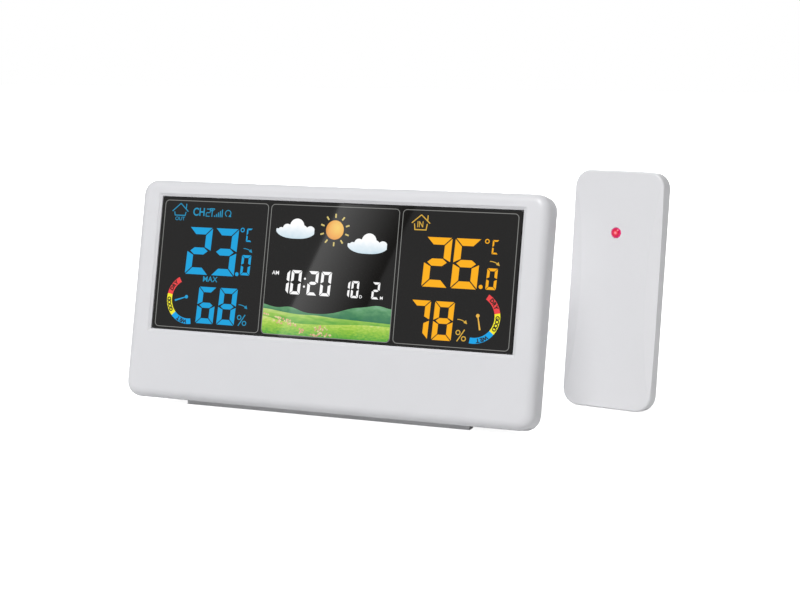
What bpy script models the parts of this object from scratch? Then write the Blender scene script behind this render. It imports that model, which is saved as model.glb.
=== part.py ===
"""Home weather station: a table console with a colour display, and its outdoor sensor.

Metres, +Z up. The origin is the middle of the console's rubber foot strip, on the table.
Each unit is drawn upright in its own frame, X to the viewer's right, Y from the front face
towards the back and Z up from the lower front edge. The frame empty then leans it back.
"""

import math

import bmesh
import bpy
from mathutils import Matrix, Vector

# Console housing
CASE_WIDTH = 0.172
CASE_HEIGHT = 0.088
CASE_DEPTH = 0.0285
FRAME_DEPTH = 0.0115
CASE_CORNER = 0.006
FRONT_FILLET = 0.0038
WALL = 0.002
CASE_LEAN = math.radians(12.4)
FRONT_EDGE_HEIGHT = 0.0029

# Display window and the border of the case round it
SIDE_BORDER = 0.0096
TOP_BORDER = 0.0067
BOTTOM_BORDER = 0.0276
WINDOW_BEVEL_WIDTH = 0.0012
WINDOW_BEVEL_DEPTH = 0.0008
WINDOW_THICKNESS = 0.0015
SEAT_LEDGE = 0.0011
SEAT_RIM = 0.0022
SEAT_THICKNESS = 0.001

# Display stack, front to back
LCD_THICKNESS = 0.002
LCD_OVERLAP = 0.0005
LCD_CONTACT_LIP = 0.003
FILM_THICKNESS = 0.0003
LIGHT_GUIDE_THICKNESS = 0.0025
LED_STRIP_HEIGHT = 0.0016
LCD_FRAME_WALL = 0.0012
ZEBRA_HEIGHT = 0.0015
BOARD_THICKNESS = 0.0012
WINDOW_CORNER = 0.0006
WINDOW_EDGE = 0.0002
LAMP_COUNT = 8
LAMP_WIDTH = 0.003
ZEBRA_SHARE = 0.85

# On the main board, beside the keys
CHIP_X = 0.012
CHIP_RADIUS = 0.008
CHIP_TOP_RADIUS = 0.0055
CHIP_HEIGHT = 0.0018
CRYSTAL_X = 0.024
CRYSTAL_DROP = 0.004
CRYSTAL_RADIUS = 0.0011
CRYSTAL_LENGTH = 0.007
RADIO_X = 0.022
RADIO_RISE = 0.005
RADIO_WIDTH = 0.014
RADIO_HEIGHT = 0.01
RADIO_THICKNESS = 0.0026
BUZZER_X = -0.012
BUZZER_RADIUS = 0.006
BUZZER_HEIGHT = 0.0035
BUZZER_FILLET = 0.0006
BUZZER_HOLE_RADIUS = 0.001
BUZZER_HOLE_FLOOR = 0.002
PROBE_WIDTH = 0.003
PROBE_HEIGHT = 0.003
PROBE_THICKNESS = 0.0012
PROBE_RISE = 0.004
ANTENNA_WIRE_RADIUS = 0.0005
ANTENNA_X = 0.034
ANTENNA_RISE = 0.01
ANTENNA_STEM = 0.003
ANTENNA_BEND = 0.002
ANTENNA_BEND_STEPS = 4
ANTENNA_END_ROOM = 0.006

# Rear case and its bulge
PLATE_THICKNESS = 0.002
BULGE_SIDE_INSET = 0.011
BULGE_END_INSET = 0.005
BULGE_CORNER = 0.008
BULGE_FILLET = 0.003
SCREW_RADIUS = 0.0011
SCREW_HEAD_RADIUS = 0.0021
SCREW_HEAD_HEIGHT = 0.0011
BOSS_RADIUS = 0.0028
BOSS_INSET = 0.009
HOOK_WIDTH = 0.008
HOOK_SPREAD = 0.1
HOOK_REACH = 0.0008

# AAA cells and their bays
CELL_RADIUS = 0.00525
CELL_LENGTH = 0.0445
CELL_NUB_RADIUS = 0.0019
CELL_NUB_LENGTH = 0.0012
CELL_SPACING = 0.0006
CELL_PITCH = 2 * CELL_RADIUS + CELL_SPACING
CELL_FILLET = 0.0005
SPRING_WIDE_RADIUS = 0.0034
SPRING_NARROW_RADIUS = 0.0022
CONTACT_ROOM = 0.0032
CONTACT_THICKNESS = 0.0005
BAY_WALL = 0.0012
BAY_SIDE_ROOM = 0.0006
DOOR_THICKNESS = 0.0016
DOOR_LEDGE = 0.0012
DOOR_GRIP_WIDTH = 0.012
DOOR_GRIP_HEIGHT = 0.004
CELL_COUNT = 3

# Fold-out stand and foot strip
STAND_LENGTH = 0.0375
STAND_THICKNESS = 0.003
STAND_TIP_HEIGHT = 0.0009
STAND_PIN_RADIUS = 0.00145
STAND_PIN_LENGTH = 0.0008
STAND_PAD_THICKNESS = 0.0016
RECESS_ROOM = 0.0008
FOOT_LENGTH = 0.12
FOOT_FRONT = 0.0068
FOOT_BACK = 0.0108
FOOT_GROOVE = 0.0008
FOOT_DROP = 0.001

# Keys, jack, keyhole and vents in the back
KEY_WIDTH = 0.009
KEY_HEIGHT = 0.0052
KEY_PITCH_X = 0.0165
KEY_PITCH_Z = 0.013
KEY_PROUD = 0.0009
KEY_EDGE = 0.0005
KEY_TRAVEL = 0.0006
KEY_FLANGE = 0.0009
KEY_FLANGE_THICKNESS = 0.001
KEY_BLOCK_RISE = 0.006
KEY_MAT_THICKNESS = 0.0006
KEY_DOME_RADIUS = 0.0022
KEY_DOME_HEIGHT = 0.0005
LINK_WIDTH = 0.012
LINK_HEIGHT = 0.0025
LINK_RISE = 0.001
JACK_BODY = 0.009
JACK_DEPTH = 0.011
JACK_BORE_DEPTH = 0.0088
JACK_BORE_RADIUS = 0.0031
JACK_COLLAR_RADIUS = 0.0042
JACK_PIN_RADIUS = 0.001
JACK_HEIGHT = 0.013
KEYHOLE_RADIUS = 0.0038
KEYHOLE_SLOT = 0.0042
KEYHOLE_RISE = 0.006
KEYHOLE_DROP = 0.012
VENT_COUNT = 6
VENT_WIDTH = 0.0012
VENT_LENGTH = 0.009
VENT_PITCH = 0.0029
VENT_START = 0.013

# Outdoor sensor
SENSOR_WIDTH = 0.0378
SENSOR_HEIGHT = 0.0942
SENSOR_CELL_ROOM = 0.0115
SENSOR_DEPTH = 2 * CELL_RADIUS + SENSOR_CELL_ROOM
SENSOR_FRONT_DEPTH = 0.0057
SENSOR_SEAM_RAKE = 0.0106
SENSOR_CORNER = 0.0065
SENSOR_FILLET = 0.0009
SENSOR_WALL = 0.0014
SENSOR_LEAN = math.radians(5.8)
SENSOR_YAW = math.radians(-9.7)
SENSOR_BESIDE = 0.0975
SENSOR_BEHIND = 0.0525
SENSOR_LAND = 0.0025
FACET_WIDTH = 0.005
FACET_SLOPE = 0.2
FACET_STEPS = 24
COVER_SETBACK = 0.001
COVER_SIDE_TAPER = 0.58
COVER_END_TAPER = 0.19
COVER_FILLET = 0.002
LED_RADIUS = 0.00185
LED_FROM_TOP = 0.0245
LED_PROUD = 0.0007
SENSOR_BAY_LOW = 0.0135
SENSOR_BOARD_THICKNESS = 0.001
SENSOR_CELL_COUNT = 2
SENSOR_CELL_CENTRE_DEPTH = 0.0126
TRAY_THICKNESS = 0.0011
TRAY_HEIGHT = 0.0115
LEG_WIDTH = 0.009
LEG_LENGTH = 0.0318
LEG_THICKNESS = 0.0022
LEG_TIP_HEIGHT = 0.0012
LEG_PIN_RADIUS = 0.0009
LEG_PIN_LENGTH = 0.0006
LEG_POCKET_SILL = 0.00084
SENSOR_KEYHOLE_RADIUS = 0.0033
SENSOR_KEYHOLE_SLOT = 0.0036
SENSOR_KEYHOLE_RISE = 0.0052
SENSOR_KEYHOLE_DROP = 0.02
COVER_SCREW_RISE = 0.003
COVER_SCREW_REACH = 0.0045
COIL_RADIUS = 0.0018
COIL_WIRE_RADIUS = 0.00035
COIL_LENGTH = 0.014
COIL_TURNS = 5
COIL_TURN_STEPS = 10
COIL_DROP = 0.0105
OUTDOOR_PROBE_X = -0.0105
OUTDOOR_PROBE_Z = 0.0085
OUTDOOR_PROBE_WIDTH = 0.004
OUTDOOR_PROBE_HEIGHT = 0.005
OUTDOOR_PROBE_THICKNESS = 0.003

# Controls under the sensor's cover
CONTROL_RISE = 0.0045
SWITCH_X = -0.006
SWITCH_TRAVEL = 0.004
SWITCH_END = 0.0025
SWITCH_TRACK_END = 0.0015
SWITCH_HEIGHT = 0.0036
SWITCH_THICKNESS = 0.003
SWITCH_TRACK_HEIGHT = 0.0016
SWITCH_TRACK_FLOOR = 0.0015
SLIDER_WIDTH = 0.0012
SLIDER_HEIGHT = 0.001
SLIDER_TIP = 0.0048
BUTTON_X = 0.0065
BUTTON_TRAVEL = 0.0003
BUTTON_RADIUS = 0.0011
BUTTON_TIP = 0.0034
BUTTON_WELL_FLOOR = 0.0008
BUTTON_BODY_WIDTH = 0.005
BUTTON_BODY_HEIGHT = 0.004
BUTTON_BODY_THICKNESS = 0.0018

# Between two pieces that touch or rest on each other
GAP = 0.0003
PIN_CLEARANCE = 0.00012
OVERSHOOT = 0.001
WELL_CLEAR = 0.01
TINY = 1e-5

WIDTH, DEPTH, UP = 0, 1, 2

# Places that follow from the sizes above, in each unit's own frame
CASE_HALF = CASE_WIDTH / 2
WINDOW_HALF = CASE_HALF - SIDE_BORDER
WINDOW_LOW = BOTTOM_BORDER
WINDOW_HIGH = CASE_HEIGHT - TOP_BORDER
WINDOW_BACK = WINDOW_BEVEL_DEPTH + WINDOW_THICKNESS
SEAT_FRONT = WINDOW_BACK + GAP
SEAT_BACK = SEAT_FRONT + SEAT_THICKNESS
LCD_FRONT = SEAT_BACK + GAP
LCD_BACK = LCD_FRONT + LCD_THICKNESS
LCD_HALF = WINDOW_HALF + LCD_OVERLAP
LCD_HIGH = WINDOW_HIGH + LCD_OVERLAP
LCD_LOW = WINDOW_LOW - LCD_CONTACT_LIP
FILM_FRONT = LCD_BACK + GAP
GUIDE_FRONT = FILM_FRONT + FILM_THICKNESS + GAP
GUIDE_BACK = GUIDE_FRONT + LIGHT_GUIDE_THICKNESS
REFLECTOR_FRONT = GUIDE_BACK + GAP
REFLECTOR_BACK = REFLECTOR_FRONT + FILM_THICKNESS
GUIDE_LOW = LCD_LOW + ZEBRA_HEIGHT + 3 * GAP
GUIDE_HIGH = LCD_HIGH - LED_STRIP_HEIGHT - GAP
PLATE_FRONT = REFLECTOR_BACK + 2 * GAP
PLATE_BACK = PLATE_FRONT + PLATE_THICKNESS
BOARD_FRONT = PLATE_FRONT
BOARD_BACK = BOARD_FRONT + BOARD_THICKNESS
BULGE_HALF = CASE_HALF - BULGE_SIDE_INSET
BULGE_LOW = BULGE_END_INSET
BULGE_HIGH = CASE_HEIGHT - BULGE_END_INSET
BULGE_MIDDLE = (BULGE_LOW + BULGE_HIGH) / 2
HOLLOW_HALF = BULGE_HALF - WALL
HOLLOW_BACK = CASE_DEPTH - WALL
BAY_HALF_WIDTH = CELL_PITCH * (CELL_COUNT - 1) / 2 + CELL_RADIUS + BAY_SIDE_ROOM
BAY_HALF_LENGTH = CELL_LENGTH / 2 + CONTACT_ROOM
BAY_X = -HOLLOW_HALF + GAP + BAY_WALL + BAY_HALF_WIDTH
DOOR_FRONT = CASE_DEPTH - DOOR_THICKNESS
CELL_DEPTH = DOOR_FRONT - 3 * GAP - CELL_RADIUS
BAY_FLOOR = CELL_DEPTH - CELL_RADIUS - GAP
RECESS_OUTER_HALF = -(BAY_X + BAY_HALF_WIDTH + 2 * BAY_WALL)
RECESS_HALF = RECESS_OUTER_HALF - BAY_WALL
STAND_HALF = RECESS_HALF - GAP
STAND_REACH = STAND_LENGTH + STAND_PAD_THICKNESS
STAND_HINGE_HEIGHT = STAND_TIP_HEIGHT + STAND_REACH
STAND_HINGE_DEPTH = CASE_DEPTH - GAP - STAND_THICKNESS / 2
RECESS_FLOOR = STAND_HINGE_DEPTH - STAND_THICKNESS / 2 - 2 * GAP
RECESS_HIGH = STAND_HINGE_HEIGHT + STAND_THICKNESS / 2 + RECESS_ROOM
KEY_X = HOLLOW_HALF - BAY_WALL - BAY_HALF_WIDTH
KEY_Z = BULGE_MIDDLE + KEY_BLOCK_RISE
KEY_FLANGE_BACK = HOLLOW_BACK - GAP
KEY_FLANGE_FRONT = KEY_FLANGE_BACK - KEY_FLANGE_THICKNESS
DOME_TOP = KEY_FLANGE_FRONT - KEY_TRAVEL - GAP
KEY_MAT_BACK = DOME_TOP - KEY_DOME_HEIGHT
KEY_MAT_FRONT = KEY_MAT_BACK - KEY_MAT_THICKNESS
KEY_BOARD_FRONT = KEY_MAT_FRONT - GAP - BOARD_THICKNESS
KEYHOLE_Z = BULGE_HIGH - KEYHOLE_DROP
JACK_Z = BULGE_LOW + JACK_HEIGHT

SENSOR_HALF = SENSOR_WIDTH / 2
SENSOR_SEAM_RUN = SENSOR_SEAM_RAKE * SENSOR_HEIGHT
COVER_FRONT = SENSOR_FRONT_DEPTH + GAP
COVER_HALF = SENSOR_HALF - COVER_SETBACK
LED_Z = SENSOR_HEIGHT - LED_FROM_TOP
SENSOR_BOARD_BACK = SENSOR_FRONT_DEPTH - TRAY_THICKNESS - 2 * GAP
SENSOR_BOARD_FRONT = SENSOR_BOARD_BACK - SENSOR_BOARD_THICKNESS
TRAY_FRONT = SENSOR_BOARD_BACK + GAP
TRAY_BACK = TRAY_FRONT + TRAY_THICKNESS
TRAY_CELL_HALF = CELL_PITCH / 2 + CELL_RADIUS
SENSOR_BAY_HIGH = SENSOR_BAY_LOW + CELL_LENGTH + 2 * CONTACT_ROOM
CONTROL_Z = SENSOR_BAY_HIGH + CONTROL_RISE
SENSOR_ORIGIN_HEIGHT = (SENSOR_FRONT_DEPTH - SENSOR_LAND) * math.sin(SENSOR_LEAN)
COVER_SCREW_Z = SENSOR_HEIGHT / 2 + COVER_SCREW_RISE
COVER_SCREW_SEAT = SENSOR_DEPTH - SCREW_HEAD_HEIGHT - 2 * GAP
LEG_HINGE_HEIGHT = LEG_TIP_HEIGHT + LEG_LENGTH
LEG_HINGE_DEPTH = SENSOR_DEPTH - GAP - LEG_THICKNESS / 2
LEG_RECESS_FLOOR = LEG_HINGE_DEPTH - LEG_THICKNESS / 2 - GAP
COVER_END_RUN = COVER_END_TAPER * (SENSOR_DEPTH - COVER_FRONT)
LEG_POCKET_LOW = COVER_SETBACK + COVER_END_RUN + LEG_POCKET_SILL

# Finishes: colour, roughness, metallic
WHITE_PLASTIC = ((0.72, 0.72, 0.74), 0.34, 0.0)
WINDOW_BLACK = ((0.012, 0.012, 0.013), 0.08, 0.0)
LCD_GLASS = ((0.05, 0.055, 0.05), 0.15, 0.0)
MILKY_PLASTIC = ((0.78, 0.79, 0.8), 0.5, 0.0)
CLEAR_PLASTIC = ((0.7, 0.75, 0.78), 0.1, 0.0)
COLOUR_FILM = ((0.1, 0.45, 0.7), 0.4, 0.0)
SILVER_FILM = ((0.75, 0.76, 0.78), 0.25, 0.6)
BOARD_GREEN = ((0.02, 0.16, 0.06), 0.45, 0.0)
BLACK_RESIN = ((0.015, 0.015, 0.016), 0.35, 0.0)
GREY_RUBBER = ((0.2, 0.2, 0.21), 0.7, 0.0)
STEEL = ((0.55, 0.55, 0.56), 0.3, 1.0)
COPPER = ((0.72, 0.33, 0.16), 0.3, 1.0)
CELL_JACKET = ((0.05, 0.09, 0.2), 0.35, 0.3)
RED_LENS = ((0.6, 0.01, 0.04), 0.12, 0.0)


def clear_scene():
    for obj in list(bpy.data.objects):
        bpy.data.objects.remove(obj, do_unlink=True)


def new_collection(name):
    collection = bpy.data.collections.new(name)
    bpy.context.scene.collection.children.link(collection)
    return collection


clear_scene()
PARTS = new_collection("home_weather_station")
CUTTERS = new_collection("cutters")
CUTTERS.hide_render = True


def empty(name, location, rotation=(0.0, 0.0, 0.0), parent=None):
    obj = bpy.data.objects.new(name, None)
    obj.empty_display_size = 0.01
    obj.location = location
    obj.rotation_euler = rotation
    obj.parent = parent
    PARTS.objects.link(obj)
    return obj


def finish(name, look):
    colour, roughness, metallic = look
    material = bpy.data.materials.new(name)
    material.use_nodes = True
    shader = material.node_tree.nodes["Principled BSDF"]
    shader.inputs["Base Color"].default_value = (*colour, 1.0)
    shader.inputs["Roughness"].default_value = roughness
    shader.inputs["Metallic"].default_value = metallic
    return material


def node(name, shape, frame, look):
    """A named piece of the object, made from a bmesh in its frame's coordinates."""
    mesh = bpy.data.meshes.new(name)
    shape.to_mesh(mesh)
    shape.free()
    mesh.materials.append(finish(name, look))
    mesh.shade_smooth()
    mesh.set_sharp_from_angle(angle=math.radians(35))
    obj = bpy.data.objects.new(name, mesh)
    PARTS.objects.link(obj)
    obj.parent = frame
    return obj


def tool(name, shape, frame):
    """A helper solid that a Boolean adds to a piece or takes from it."""
    mesh = bpy.data.meshes.new(name)
    shape.to_mesh(mesh)
    shape.free()
    obj = bpy.data.objects.new(name, mesh)
    CUTTERS.objects.link(obj)
    obj.parent = frame
    obj.hide_render = True
    obj.display_type = "WIRE"
    return obj


def combine(obj, name, shape, operation):
    modifier = obj.modifiers.new(name, "BOOLEAN")
    modifier.operation = operation
    modifier.solver = "EXACT"
    modifier.object = tool(f"{obj.name}_{name}", shape, obj.parent)


def cut(obj, name, shape):
    combine(obj, name, shape, "DIFFERENCE")


def join(obj, name, shape):
    combine(obj, name, shape, "UNION")


def merge(shapes):
    """Several separate shapes as one bmesh."""
    merged = bmesh.new()
    carrier = bpy.data.meshes.new("carrier")
    for shape in shapes:
        shape.to_mesh(carrier)
        shape.free()
        merged.from_mesh(carrier)
    bpy.data.meshes.remove(carrier)
    return merged


def slab(low, high, corner=0.0, along=DEPTH, steps=5):
    """A block between two corners, its four edges along one axis rounded."""
    low = Vector(low)
    high = Vector(high)
    shape = bmesh.new()
    place = Matrix.Translation((low + high) / 2) @ Matrix.Diagonal((*(high - low), 1.0))
    bmesh.ops.create_cube(shape, size=1.0, matrix=place)
    if corner:
        across = [axis for axis in (WIDTH, DEPTH, UP) if axis != along]
        edges = [
            edge
            for edge in shape.edges
            if all(abs(edge.verts[0].co[a] - edge.verts[1].co[a]) < 1e-9 for a in across)
        ]
        bevel(shape, edges, corner, steps)
    return shape


def bevel(shape, edges, radius, steps):
    bmesh.ops.bevel(
        shape,
        geom=edges,
        offset=radius,
        offset_type="OFFSET",
        segments=steps,
        profile=0.5,
        affect="EDGES",
        clamp_overlap=False,
    )


def on_plane(items, axis, value):
    return [item for item in items if all(abs(v.co[axis] - value) < 1e-7 for v in item.verts)]


def soften(shape, axis, value, radius, steps=4):
    """Rounds the rim where a block meets the plane at this value."""
    face = max(on_plane(shape.faces, axis, value), key=lambda item: item.calc_area())
    bevel(shape, list(face.edges), radius, steps)
    return shape


def open_side(shape, axis, value):
    bmesh.ops.delete(shape, geom=on_plane(shape.faces, axis, value), context="FACES")
    return shape


def solidify(obj, thickness):
    modifier = obj.modifiers.new("wall", "SOLIDIFY")
    modifier.thickness = thickness
    modifier.offset = -1.0
    modifier.use_even_offset = True


def drum(radius, start, end, along=DEPTH, steps=32, end_radius=None):
    """A cylinder or a cone between two points that differ along one axis only."""
    start = Vector(start)
    end = Vector(end)
    turn = {
        WIDTH: Matrix.Rotation(math.pi / 2, 4, "Y"),
        DEPTH: Matrix.Rotation(-math.pi / 2, 4, "X"),
        UP: Matrix.Identity(4),
    }[along]
    shape = bmesh.new()
    bmesh.ops.create_cone(
        shape,
        cap_ends=True,
        segments=steps,
        radius1=radius,
        radius2=radius if end_radius is None else end_radius,
        depth=end[along] - start[along],
        matrix=Matrix.Translation((start + end) / 2) @ turn,
    )
    return shape


def wire(name, points, radius, frame, look):
    """A round wire through these points, as a welded mesh."""
    curve = bpy.data.curves.new(name, "CURVE")
    curve.dimensions = "3D"
    curve.bevel_depth = radius
    curve.bevel_resolution = 2
    curve.use_fill_caps = True
    spline = curve.splines.new("POLY")
    spline.points.add(len(points) - 1)
    for point, place in zip(spline.points, points):
        point.co = (*place, 1.0)
    guide = bpy.data.objects.new(name, curve)
    CUTTERS.objects.link(guide)
    bpy.context.view_layer.update()
    graph = bpy.context.evaluated_depsgraph_get()
    mesh = bpy.data.meshes.new_from_object(guide.evaluated_get(graph))
    shape = bmesh.new()
    shape.from_mesh(mesh)
    bmesh.ops.remove_doubles(shape, verts=shape.verts, dist=1e-6)
    bpy.data.meshes.remove(mesh)
    bpy.data.objects.remove(guide, do_unlink=True)
    bpy.data.curves.remove(curve)
    return node(name, shape, frame, look)


def floor_line(depth, height, lean):
    """The table's height in a leaning frame whose origin is this far above it."""
    return (depth * math.sin(lean) - height) / math.cos(lean)


def level_underside(shape, height, lean, rise=0.0):
    """Brings the lower vertices of a block down to the table, so its underside is level."""
    middle = sum(vert.co.z for vert in shape.verts) / len(shape.verts)
    for vert in shape.verts:
        if vert.co.z < middle:
            vert.co.z = floor_line(vert.co.y, height, lean) + rise
    return shape


def prop_angle(hinge_height, reach):
    """The angle from upright at which a hinged leg of this reach stands on the table."""
    return math.acos(hinge_height / reach)


# ---------------------------------------------------------------- console

FOOT_MIDDLE = (FOOT_FRONT + FOOT_BACK) / 2
CONSOLE = empty(
    "console_frame",
    (
        0.0,
        -(FOOT_MIDDLE - FRONT_EDGE_HEIGHT * math.sin(CASE_LEAN)) / math.cos(CASE_LEAN),
        FRONT_EDGE_HEIGHT,
    ),
    (-CASE_LEAN, 0.0, 0.0),
)


def window_block(margin, front, back, corner=0.0):
    """A block over the window, wider than it by a margin on every side."""
    return slab(
        (-WINDOW_HALF - margin, front, WINDOW_LOW - margin),
        (WINDOW_HALF + margin, back, WINDOW_HIGH + margin),
        corner,
    )


def funnel():
    """The sloping edge of the window recess, which widens towards the front."""
    slope = WINDOW_BEVEL_WIDTH / WINDOW_BEVEL_DEPTH
    shape = window_block(0.0, -OVERSHOOT, WINDOW_BEVEL_DEPTH)
    middle = Vector((0.0, 0.0, (WINDOW_LOW + WINDOW_HIGH) / 2))
    spread = slope * (WINDOW_BEVEL_DEPTH + OVERSHOOT)
    for vert in shape.verts:
        if vert.co.y < 0.0:
            vert.co.x += math.copysign(spread, vert.co.x)
            vert.co.z += math.copysign(spread, vert.co.z - middle.z)
    return shape


def boss_places():
    return [(side * (CASE_HALF - BOSS_INSET), BOSS_INSET) for side in (-1, 1)]


def hook_places():
    return [-HOOK_SPREAD / 2, HOOK_SPREAD / 2]


def front_case():
    """Moulded front: frame round the window, filleted rim, screw bosses and hook notches."""
    shape = slab((-CASE_HALF, 0.0, 0.0), (CASE_HALF, FRAME_DEPTH, CASE_HEIGHT), CASE_CORNER)
    soften(shape, DEPTH, 0.0, FRONT_FILLET, steps=5)
    obj = node("front_case", open_side(shape, DEPTH, FRAME_DEPTH), CONSOLE, WHITE_PLASTIC)
    solidify(obj, WALL)
    join(obj, "window_seat", window_block(SEAT_RIM, WALL / 2, SEAT_BACK))
    cut(obj, "window_funnel", funnel())
    cut(obj, "window_pocket", window_block(0.0, WINDOW_BEVEL_DEPTH / 2, SEAT_FRONT))
    cut(obj, "window_opening", window_block(-SEAT_LEDGE, 0.0, SEAT_BACK + OVERSHOOT))
    ends = (WALL / 2, PLATE_FRONT - GAP)
    bosses = [drum(BOSS_RADIUS, (x, ends[0], z), (x, ends[1], z)) for x, z in boss_places()]
    join(obj, "screw_bosses", merge(bosses))
    pilots = (2 * WALL, FRAME_DEPTH + OVERSHOOT)
    holes = [
        drum(SCREW_RADIUS + PIN_CLEARANCE, (x, pilots[0], z), (x, pilots[1], z), steps=16)
        for x, z in boss_places()
    ]
    cut(obj, "screw_pilots", merge(holes))
    cut(
        obj,
        "foot_groove",
        slab(
            (-FOOT_LENGTH / 2 - GAP, FOOT_FRONT - GAP, -OVERSHOOT),
            (FOOT_LENGTH / 2 + GAP, FOOT_BACK + GAP, FOOT_GROOVE),
        ),
    )
    top = CASE_HEIGHT - WALL
    notches = [
        slab(
            (x - HOOK_WIDTH / 2 - GAP, PLATE_FRONT - 2 * WALL, top - OVERSHOOT),
            (x + HOOK_WIDTH / 2 + GAP, PLATE_FRONT - GAP, top + HOOK_REACH + GAP),
        )
        for x in hook_places()
    ]
    cut(obj, "hook_notches", merge(notches))


def display_window():
    """Glossy window, black round the edge, seated in the front case from the front."""
    shape = window_block(-GAP, WINDOW_BEVEL_DEPTH, WINDOW_BACK, WINDOW_CORNER)
    soften(shape, DEPTH, WINDOW_BEVEL_DEPTH, WINDOW_EDGE, steps=2)
    node("display_window", shape, CONSOLE, WINDOW_BLACK)


def stack_sheet(name, front, back, low, high, look):
    node(name, slab((-LCD_HALF, front, low), (LCD_HALF, back, high)), CONSOLE, look)


def display_stack():
    """Everything behind the window: LCD, printed film, light guide, reflector and frame."""
    stack_sheet("lcd_panel", LCD_FRONT, LCD_BACK, LCD_LOW, LCD_HIGH, LCD_GLASS)
    film_back = FILM_FRONT + FILM_THICKNESS
    stack_sheet("colour_film", FILM_FRONT, film_back, GUIDE_LOW, LCD_HIGH, COLOUR_FILM)
    stack_sheet("light_guide", GUIDE_FRONT, GUIDE_BACK, GUIDE_LOW, GUIDE_HIGH, CLEAR_PLASTIC)
    stack_sheet(
        "reflector_film", REFLECTOR_FRONT, REFLECTOR_BACK, GUIDE_LOW, LCD_HIGH, SILVER_FILM
    )

    strip_low = GUIDE_HIGH + GAP
    strip_middle = (strip_low + LCD_HIGH) / 2
    strip = node(
        "led_strip",
        slab((-LCD_HALF, GUIDE_FRONT, strip_middle), (LCD_HALF, GUIDE_BACK, LCD_HIGH)),
        CONSOLE,
        BOARD_GREEN,
    )
    pitch = 2 * LCD_HALF / LAMP_COUNT
    lamps = []
    for i in range(LAMP_COUNT):
        x = (i - (LAMP_COUNT - 1) / 2) * pitch
        lamps.append(
            slab(
                (x - LAMP_WIDTH / 2, GUIDE_FRONT + GAP, strip_low),
                (x + LAMP_WIDTH / 2, GUIDE_BACK - GAP, strip_middle + GAP),
            )
        )
    join(strip, "lamps", merge(lamps))

    zebra_low = LCD_LOW + GAP
    node(
        "zebra_strip",
        slab(
            (-LCD_HALF * ZEBRA_SHARE, FILM_FRONT, zebra_low),
            (LCD_HALF * ZEBRA_SHARE, BOARD_FRONT - GAP, zebra_low + ZEBRA_HEIGHT),
        ),
        CONSOLE,
        GREY_RUBBER,
    )

    inner = GAP
    outer = GAP + LCD_FRAME_WALL
    frame = node(
        "lcd_frame",
        slab(
            (-LCD_HALF - outer, LCD_FRONT, LCD_LOW - outer),
            (LCD_HALF + outer, REFLECTOR_BACK, LCD_HIGH + outer),
        ),
        CONSOLE,
        MILKY_PLASTIC,
    )
    cut(
        frame,
        "opening",
        slab(
            (-LCD_HALF - inner, LCD_FRONT - OVERSHOOT, LCD_LOW - inner),
            (LCD_HALF + inner, REFLECTOR_BACK + OVERSHOOT, LCD_HIGH + inner),
        ),
    )


def main_board():
    """Circuit board behind the display, with the chip under resin and the radio beside it."""
    edge = HOLLOW_HALF - 2 * GAP
    board_high = min(WINDOW_HIGH, BULGE_HIGH - WALL) - 2 * GAP
    node(
        "main_board",
        slab((-edge, BOARD_FRONT, LCD_LOW), (edge, BOARD_BACK, board_high), BULGE_CORNER - WALL),
        CONSOLE,
        BOARD_GREEN,
    )
    seat = BOARD_BACK + GAP
    blob = drum(
        CHIP_RADIUS,
        (CHIP_X, seat, KEY_Z),
        (CHIP_X, seat + CHIP_HEIGHT, KEY_Z),
        end_radius=CHIP_TOP_RADIUS,
    )
    node("controller_blob", blob, CONSOLE, BLACK_RESIN)
    can_z = KEY_Z - CRYSTAL_DROP
    can = drum(
        CRYSTAL_RADIUS,
        (CRYSTAL_X, seat + CRYSTAL_RADIUS, can_z),
        (CRYSTAL_X + CRYSTAL_LENGTH, seat + CRYSTAL_RADIUS, can_z),
        WIDTH,
        steps=20,
    )
    node("clock_crystal", can, CONSOLE, STEEL)
    radio_low = KEY_Z + RADIO_RISE
    radio = slab(
        (RADIO_X, seat, radio_low),
        (RADIO_X + RADIO_WIDTH, seat + RADIO_THICKNESS, radio_low + RADIO_HEIGHT),
    )
    node("radio_module", radio, CONSOLE, BOARD_GREEN)
    buzzer_back = seat + BUZZER_HEIGHT
    buzzer = drum(BUZZER_RADIUS, (BUZZER_X, seat, KEY_Z), (BUZZER_X, buzzer_back, KEY_Z))
    soften(buzzer, DEPTH, buzzer_back, BUZZER_FILLET, steps=2)
    obj = node("buzzer", buzzer, CONSOLE, BLACK_RESIN)
    hole = drum(
        BUZZER_HOLE_RADIUS,
        (BUZZER_X, seat + BUZZER_HOLE_FLOOR, KEY_Z),
        (BUZZER_X, buzzer_back + OVERSHOOT, KEY_Z),
        steps=16,
    )
    cut(obj, "sound_hole", hole)
    probe_x = VENT_START + VENT_PITCH
    probe_low = LCD_LOW + PROBE_RISE
    probe = slab(
        (probe_x - PROBE_WIDTH / 2, seat, probe_low),
        (probe_x + PROBE_WIDTH / 2, seat + PROBE_THICKNESS, probe_low + PROBE_HEIGHT),
    )
    node("room_probe", probe, CONSOLE, BLACK_RESIN)


def console_antenna():
    """Copper wire that stands off the radio and runs along the board to the case's side."""
    start = Vector(
        (
            ANTENNA_X,
            BOARD_BACK + GAP + RADIO_THICKNESS + ANTENNA_WIRE_RADIUS + GAP,
            KEY_Z + ANTENNA_RISE,
        )
    )
    stem_top = start + Vector((0.0, ANTENNA_STEM, 0.0))
    route = [start, stem_top]
    for i in range(1, ANTENNA_BEND_STEPS + 1):
        angle = i * math.pi / (2 * ANTENNA_BEND_STEPS)
        bend = Vector((1.0 - math.cos(angle), math.sin(angle), 0.0)) * ANTENNA_BEND
        route.append(stem_top + bend)
    run = HOLLOW_HALF - start.x - ANTENNA_END_ROOM
    route.append(route[-1] + Vector((run, 0.0, 0.0)))
    wire("console_antenna", route, ANTENNA_WIRE_RADIUS, CONSOLE, COPPER)


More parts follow.
